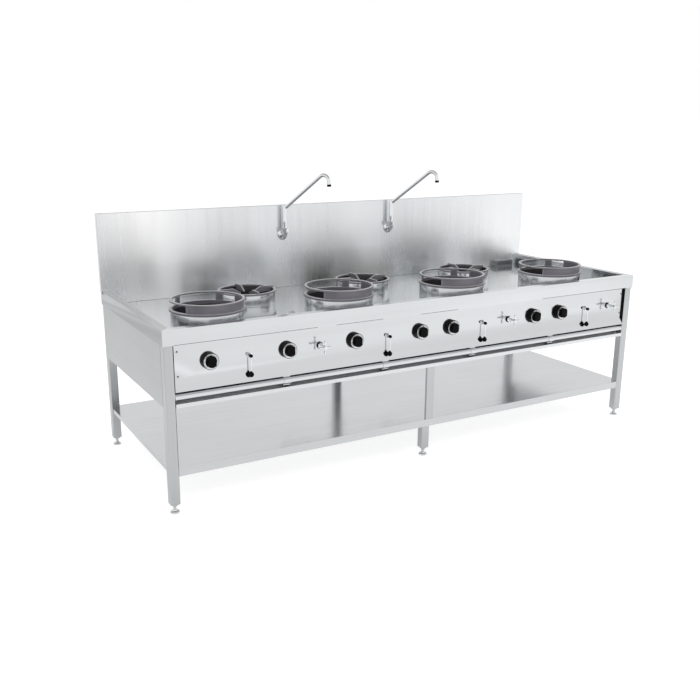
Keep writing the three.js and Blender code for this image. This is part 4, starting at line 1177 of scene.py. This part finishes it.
def nozzleDome():
    low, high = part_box("flush_nozzle")
    spot = middle("flush_nozzle")
    centre = (spot.x, spot.y, 0)
    radius = (high.x - low.x) / 2
    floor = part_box("worktop")[1].z - topSheet["well"] + topSheet["gap"]
    height = high.z - floor
    dome = [
        (0, floor), (radius, floor), (radius, floor + 0.002),
        (radius * 0.96, floor + height * 0.25),
    ]
    for i in range(1, 8):
        angle = math.pi / 2 * i / 8
        rise = height * (0.3 + 0.7 * math.sin(angle))
        dome.append((radius * 0.94 * math.cos(angle), floor + rise))
    dome.append((0, high.z))
    bm = bmesh.new()
    turn(bm, dome, 40, centre)
    turn(bm, hoop(0, nozzle["stem"], low.z, floor + 0.001), 20, centre)
    hexNut(bm, nozzle["nut"], low.z + nozzle["nutFoot"], floor - nozzle["nutTop"], centre)
    finishPiece("nozzle_dome", bm, rootBody, ["dial"], ["flush_nozzle"])


nozzleDome()


# screws on the panels

screw = {
    "size": 0.0046,
    "steps": 20,
    "recess": (0.62, 0.12),
    "recessRise": (0.0018, 0.00265),
    "rows": (0.745, 0.634),
    "inset": 0.018,
    "panelDepth": 0.014,
}


def screwHead(bm, spot, axis):
    size = screw["size"]
    long, thin = [size * n for n in screw["recess"]]
    foot, top = screw["recessRise"]
    head = bmesh.new()
    turn(head, [
        (0, 0.0), (size, 0.0), (size, 0.0006), (size * 0.85, 0.0016), (size * 0.5, 0.0023),
        (0, 0.0026),
    ], screw["steps"])
    for wide, deep in ((long, thin), (thin, long)):
        block(head, (-wide, -deep, foot), (wide, deep, top), 1)
    facing = Vector(axis).to_track_quat("Z", "Y").to_matrix().to_4x4()
    bmesh.ops.transform(head, matrix=Matrix.Translation(spot) @ facing, verts=head.verts)
    carry = bpy.data.meshes.new("screw")
    head.to_mesh(carry)
    head.free()
    bm.from_mesh(carry)
    bpy.data.meshes.remove(carry)


def panelScrews():
    low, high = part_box("control_panel")
    face = low.y + screw["panelDepth"]
    bm = bmesh.new()
    for x in (low.x + screw["inset"], high.x - screw["inset"]):
        for z in screw["rows"]:
            screwHead(bm, Vector((x, face, z)), (0, -1, 0))
    finishPiece("panel_screws", bm, rootBody, ["mark", "chrome"])


panelScrews()
print("screws")


# painted shade: dark strips standing in for the shadow in the slots below and beside the panel, and
# painted shadow lines under the skirt's lower edge

paintedShadeStrips = {
    "thickness": 0.0015,
    "gap": 0.0003,
    "behindRail": 0.0425,
    "blackFoot": 0.530,
    "angleLip": 0.0023,
    "chin": (0.0175, 0.019),
    "beside": 0.0004,
    "besideDepth": (0.002, 0.0138),
    "besideTop": 0.001,
    "hem": (0.0002, 0.0004, 0.0016),
    "hemShadowLines": [(-1.354, -0.66), (-0.56, -0.30), (-0.08, 0.15), (0.72, 1.354)],
}


def paintShadeStrips():
    low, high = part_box("control_panel")
    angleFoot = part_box("lower_front_angle")[0].z + paintedShadeStrips["angleLip"]
    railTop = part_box("front_rail")[1].z + paintedShadeStrips["gap"]
    slotTop, split = low.z - paintedShadeStrips["gap"], paintedShadeStrips["blackFoot"]
    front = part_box("leg_front_right")[0].y
    near = front + paintedShadeStrips["behindRail"]
    far = near + paintedShadeStrips["thickness"]
    bm = bmesh.new()
    # painted shade: a black strip behind the rail for the shadowed slot above it, and a grey strip
    # below it for the shadowed gap under the rail
    block(bm, (low.x, near, split), (high.x, far, slotTop))
    block(bm, (low.x, near, angleFoot), (high.x, far, split), 1)
    # a black strip just behind the chin, painted shade in the slot over the rail
    chinNear, chinFar = paintedShadeStrips["chin"]
    block(bm, (low.x, front + chinNear, railTop), (high.x, front + chinFar, slotTop))
    # black strips at the panel's two ends, painted shade in the recess beside the legs
    sideNear, sideFar = [front + depth for depth in paintedShadeStrips["besideDepth"]]
    for inner, outer in ((low.x, low.x + paintedShadeStrips["beside"]), (high.x - paintedShadeStrips["beside"], high.x)):
        sideTop = high.z - paintedShadeStrips["besideTop"]
        block(bm, (inner, sideNear, low.z), (outer, sideFar, sideTop))
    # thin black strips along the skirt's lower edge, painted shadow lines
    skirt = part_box("worktop")[0].y
    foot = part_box("worktop")[1].z - topSheet["skirt"]
    proud, sunk, tall = paintedShadeStrips["hem"]
    for start, end in paintedShadeStrips["hemShadowLines"]:
        block(bm, (start, skirt - proud, foot), (end, skirt + sunk, foot + tall))
    finishPiece("painted_shade_strips", bm, rootBody, ["rubber", "shade"])


paintShadeStrips()
print("paintedShadeStrips")


# the model's own nodes keep their shapes and get a finish

nodeLooks = {"gas_manifold": "chrome", "water_manifold": "chrome"}
for nodeName, node in nodes.items():
    chosen = nodeLooks.get(nodeName, "burner" if "burner" in nodeName else "sheetX")
    node.data.materials.clear()
    node.data.materials.append(looks[chosen])


# floor, world and lamps

studio = {
    "size": 30,
    "floor": (0.42, 0.42, 0.42),
    "glow": 0.80,
    "mirrored": (-1.5, 4.0, 0.46, 0.66),
    "darkSide": (-2.6, -3.2),
    "darkEdge": 0.4,
    "dimmed": 0.05,
    "wallDepth": (-4.5, -6.5),
    "wallLeft": (-0.6, 0.4),
    "wallRight": (3.0, 1.4, 0, 0.35),
    "diffuse": 0.62,
    "room": (0.45, 0.62, 0.97, 0.5),
}
lamps = {
    "key": {"place": (-3.2, -4.0, 4.2), "aim": (0, 0, 0.8), "size": (3.0, 2.0), "power": 110},
    "fill": {"place": (3.5, -3.0, 3.4), "aim": (0.4, 0, 0.8), "size": (2.5, 2.5), "power": 60},
    "top": {"place": (0, 0.4, 4.6), "aim": (0, 0, 0.8), "size": (4.5, 2.0), "power": 90},
}


def studioFloor():
    mesh = bpy.data.meshes.new("studio_floor")
    size = studio["size"]
    corners = [(-size, -size, 0), (size, -size, 0), (size, size, 0), (-size, size, 0)]
    mesh.from_pydata(corners, [], [(0, 1, 2, 3)])
    floor = bpy.data.objects.new("studio_floor", mesh)
    scene.collection.objects.link(floor)
    material = bpy.data.materials.new("studio floor")
    tree = Tree(material)
    camera, glossy, clear = tree.rays("Camera", "Glossy", "Transmission")
    # painted reflection: for glossy rays the floor glows brighter to the right and dark to the
    # front left, as a dark side of a room
    across, deep = tree.along("X"), tree.along("Y")
    (edgeX, edgeY), soft = studio["darkSide"], studio["darkEdge"]
    dark = tree.spread(across, edgeX, edgeX - soft) * tree.spread(deep, edgeY, edgeY - soft)
    # and pale far in front of it, as a pale wall
    pale = tree.spread(deep, *studio["wallDepth"]) * tree.spread(across, *studio["wallLeft"])
    pale = pale * tree.spread(across, *studio["wallRight"])
    bright = tree.spread(across, *studio["mirrored"]) + pale
    seen = (camera + clear) * studio["glow"]
    level = seen + glossy * ((1 - dark) * bright + studio["dimmed"])
    speckle = tree.noise(3, 2)
    tree.feed(tree.nodes["Principled BSDF"], {
        "Base Color": tree.mixColour(speckle, studio["floor"], [c * 1.02 for c in studio["floor"]]),
        "Roughness": 0.9,
        "Specular IOR Level": 0.0,
        "Emission Color": tree.mixColour(level, (0, 0, 0), (1, 1, 1)),
        "Emission Strength": 1.0,
    })
    mesh.materials.append(material)


def studioWorld():
    world = bpy.data.worlds.new("studio")
    scene.world = world
    tree = Tree(world)
    camera, glossy, clear = tree.rays("Camera", "Glossy", "Transmission")
    seen = camera + clear
    way = tree.add("ShaderNodeTexCoord", {}, {}, "Generated")
    room = tree.spread(tree.along("Z", way), *studio["room"])
    level = seen + glossy * room + (1 - seen - glossy) * studio["diffuse"]
    tree.feed(tree.nodes["Background"], {"Color": (1, 1, 1, 1), "Strength": level})


def softLamp(name, place, aim, size, power):
    data = bpy.data.lights.new(name, "AREA")
    data.shape = "RECTANGLE"
    data.size, data.size_y = size
    data.energy = power
    lamp = bpy.data.objects.new(name, data)
    lamp.location = place
    lamp.rotation_euler = (Vector(aim) - Vector(place)).to_track_quat("-Z", "Y").to_euler()
    lamp.visible_glossy = False
    scene.collection.objects.link(lamp)


studioFloor()
studioWorld()
for lampName, lampSetup in lamps.items():
    softLamp(lampName, **lampSetup)
scene.view_settings.view_transform = "Standard"
print("studio")
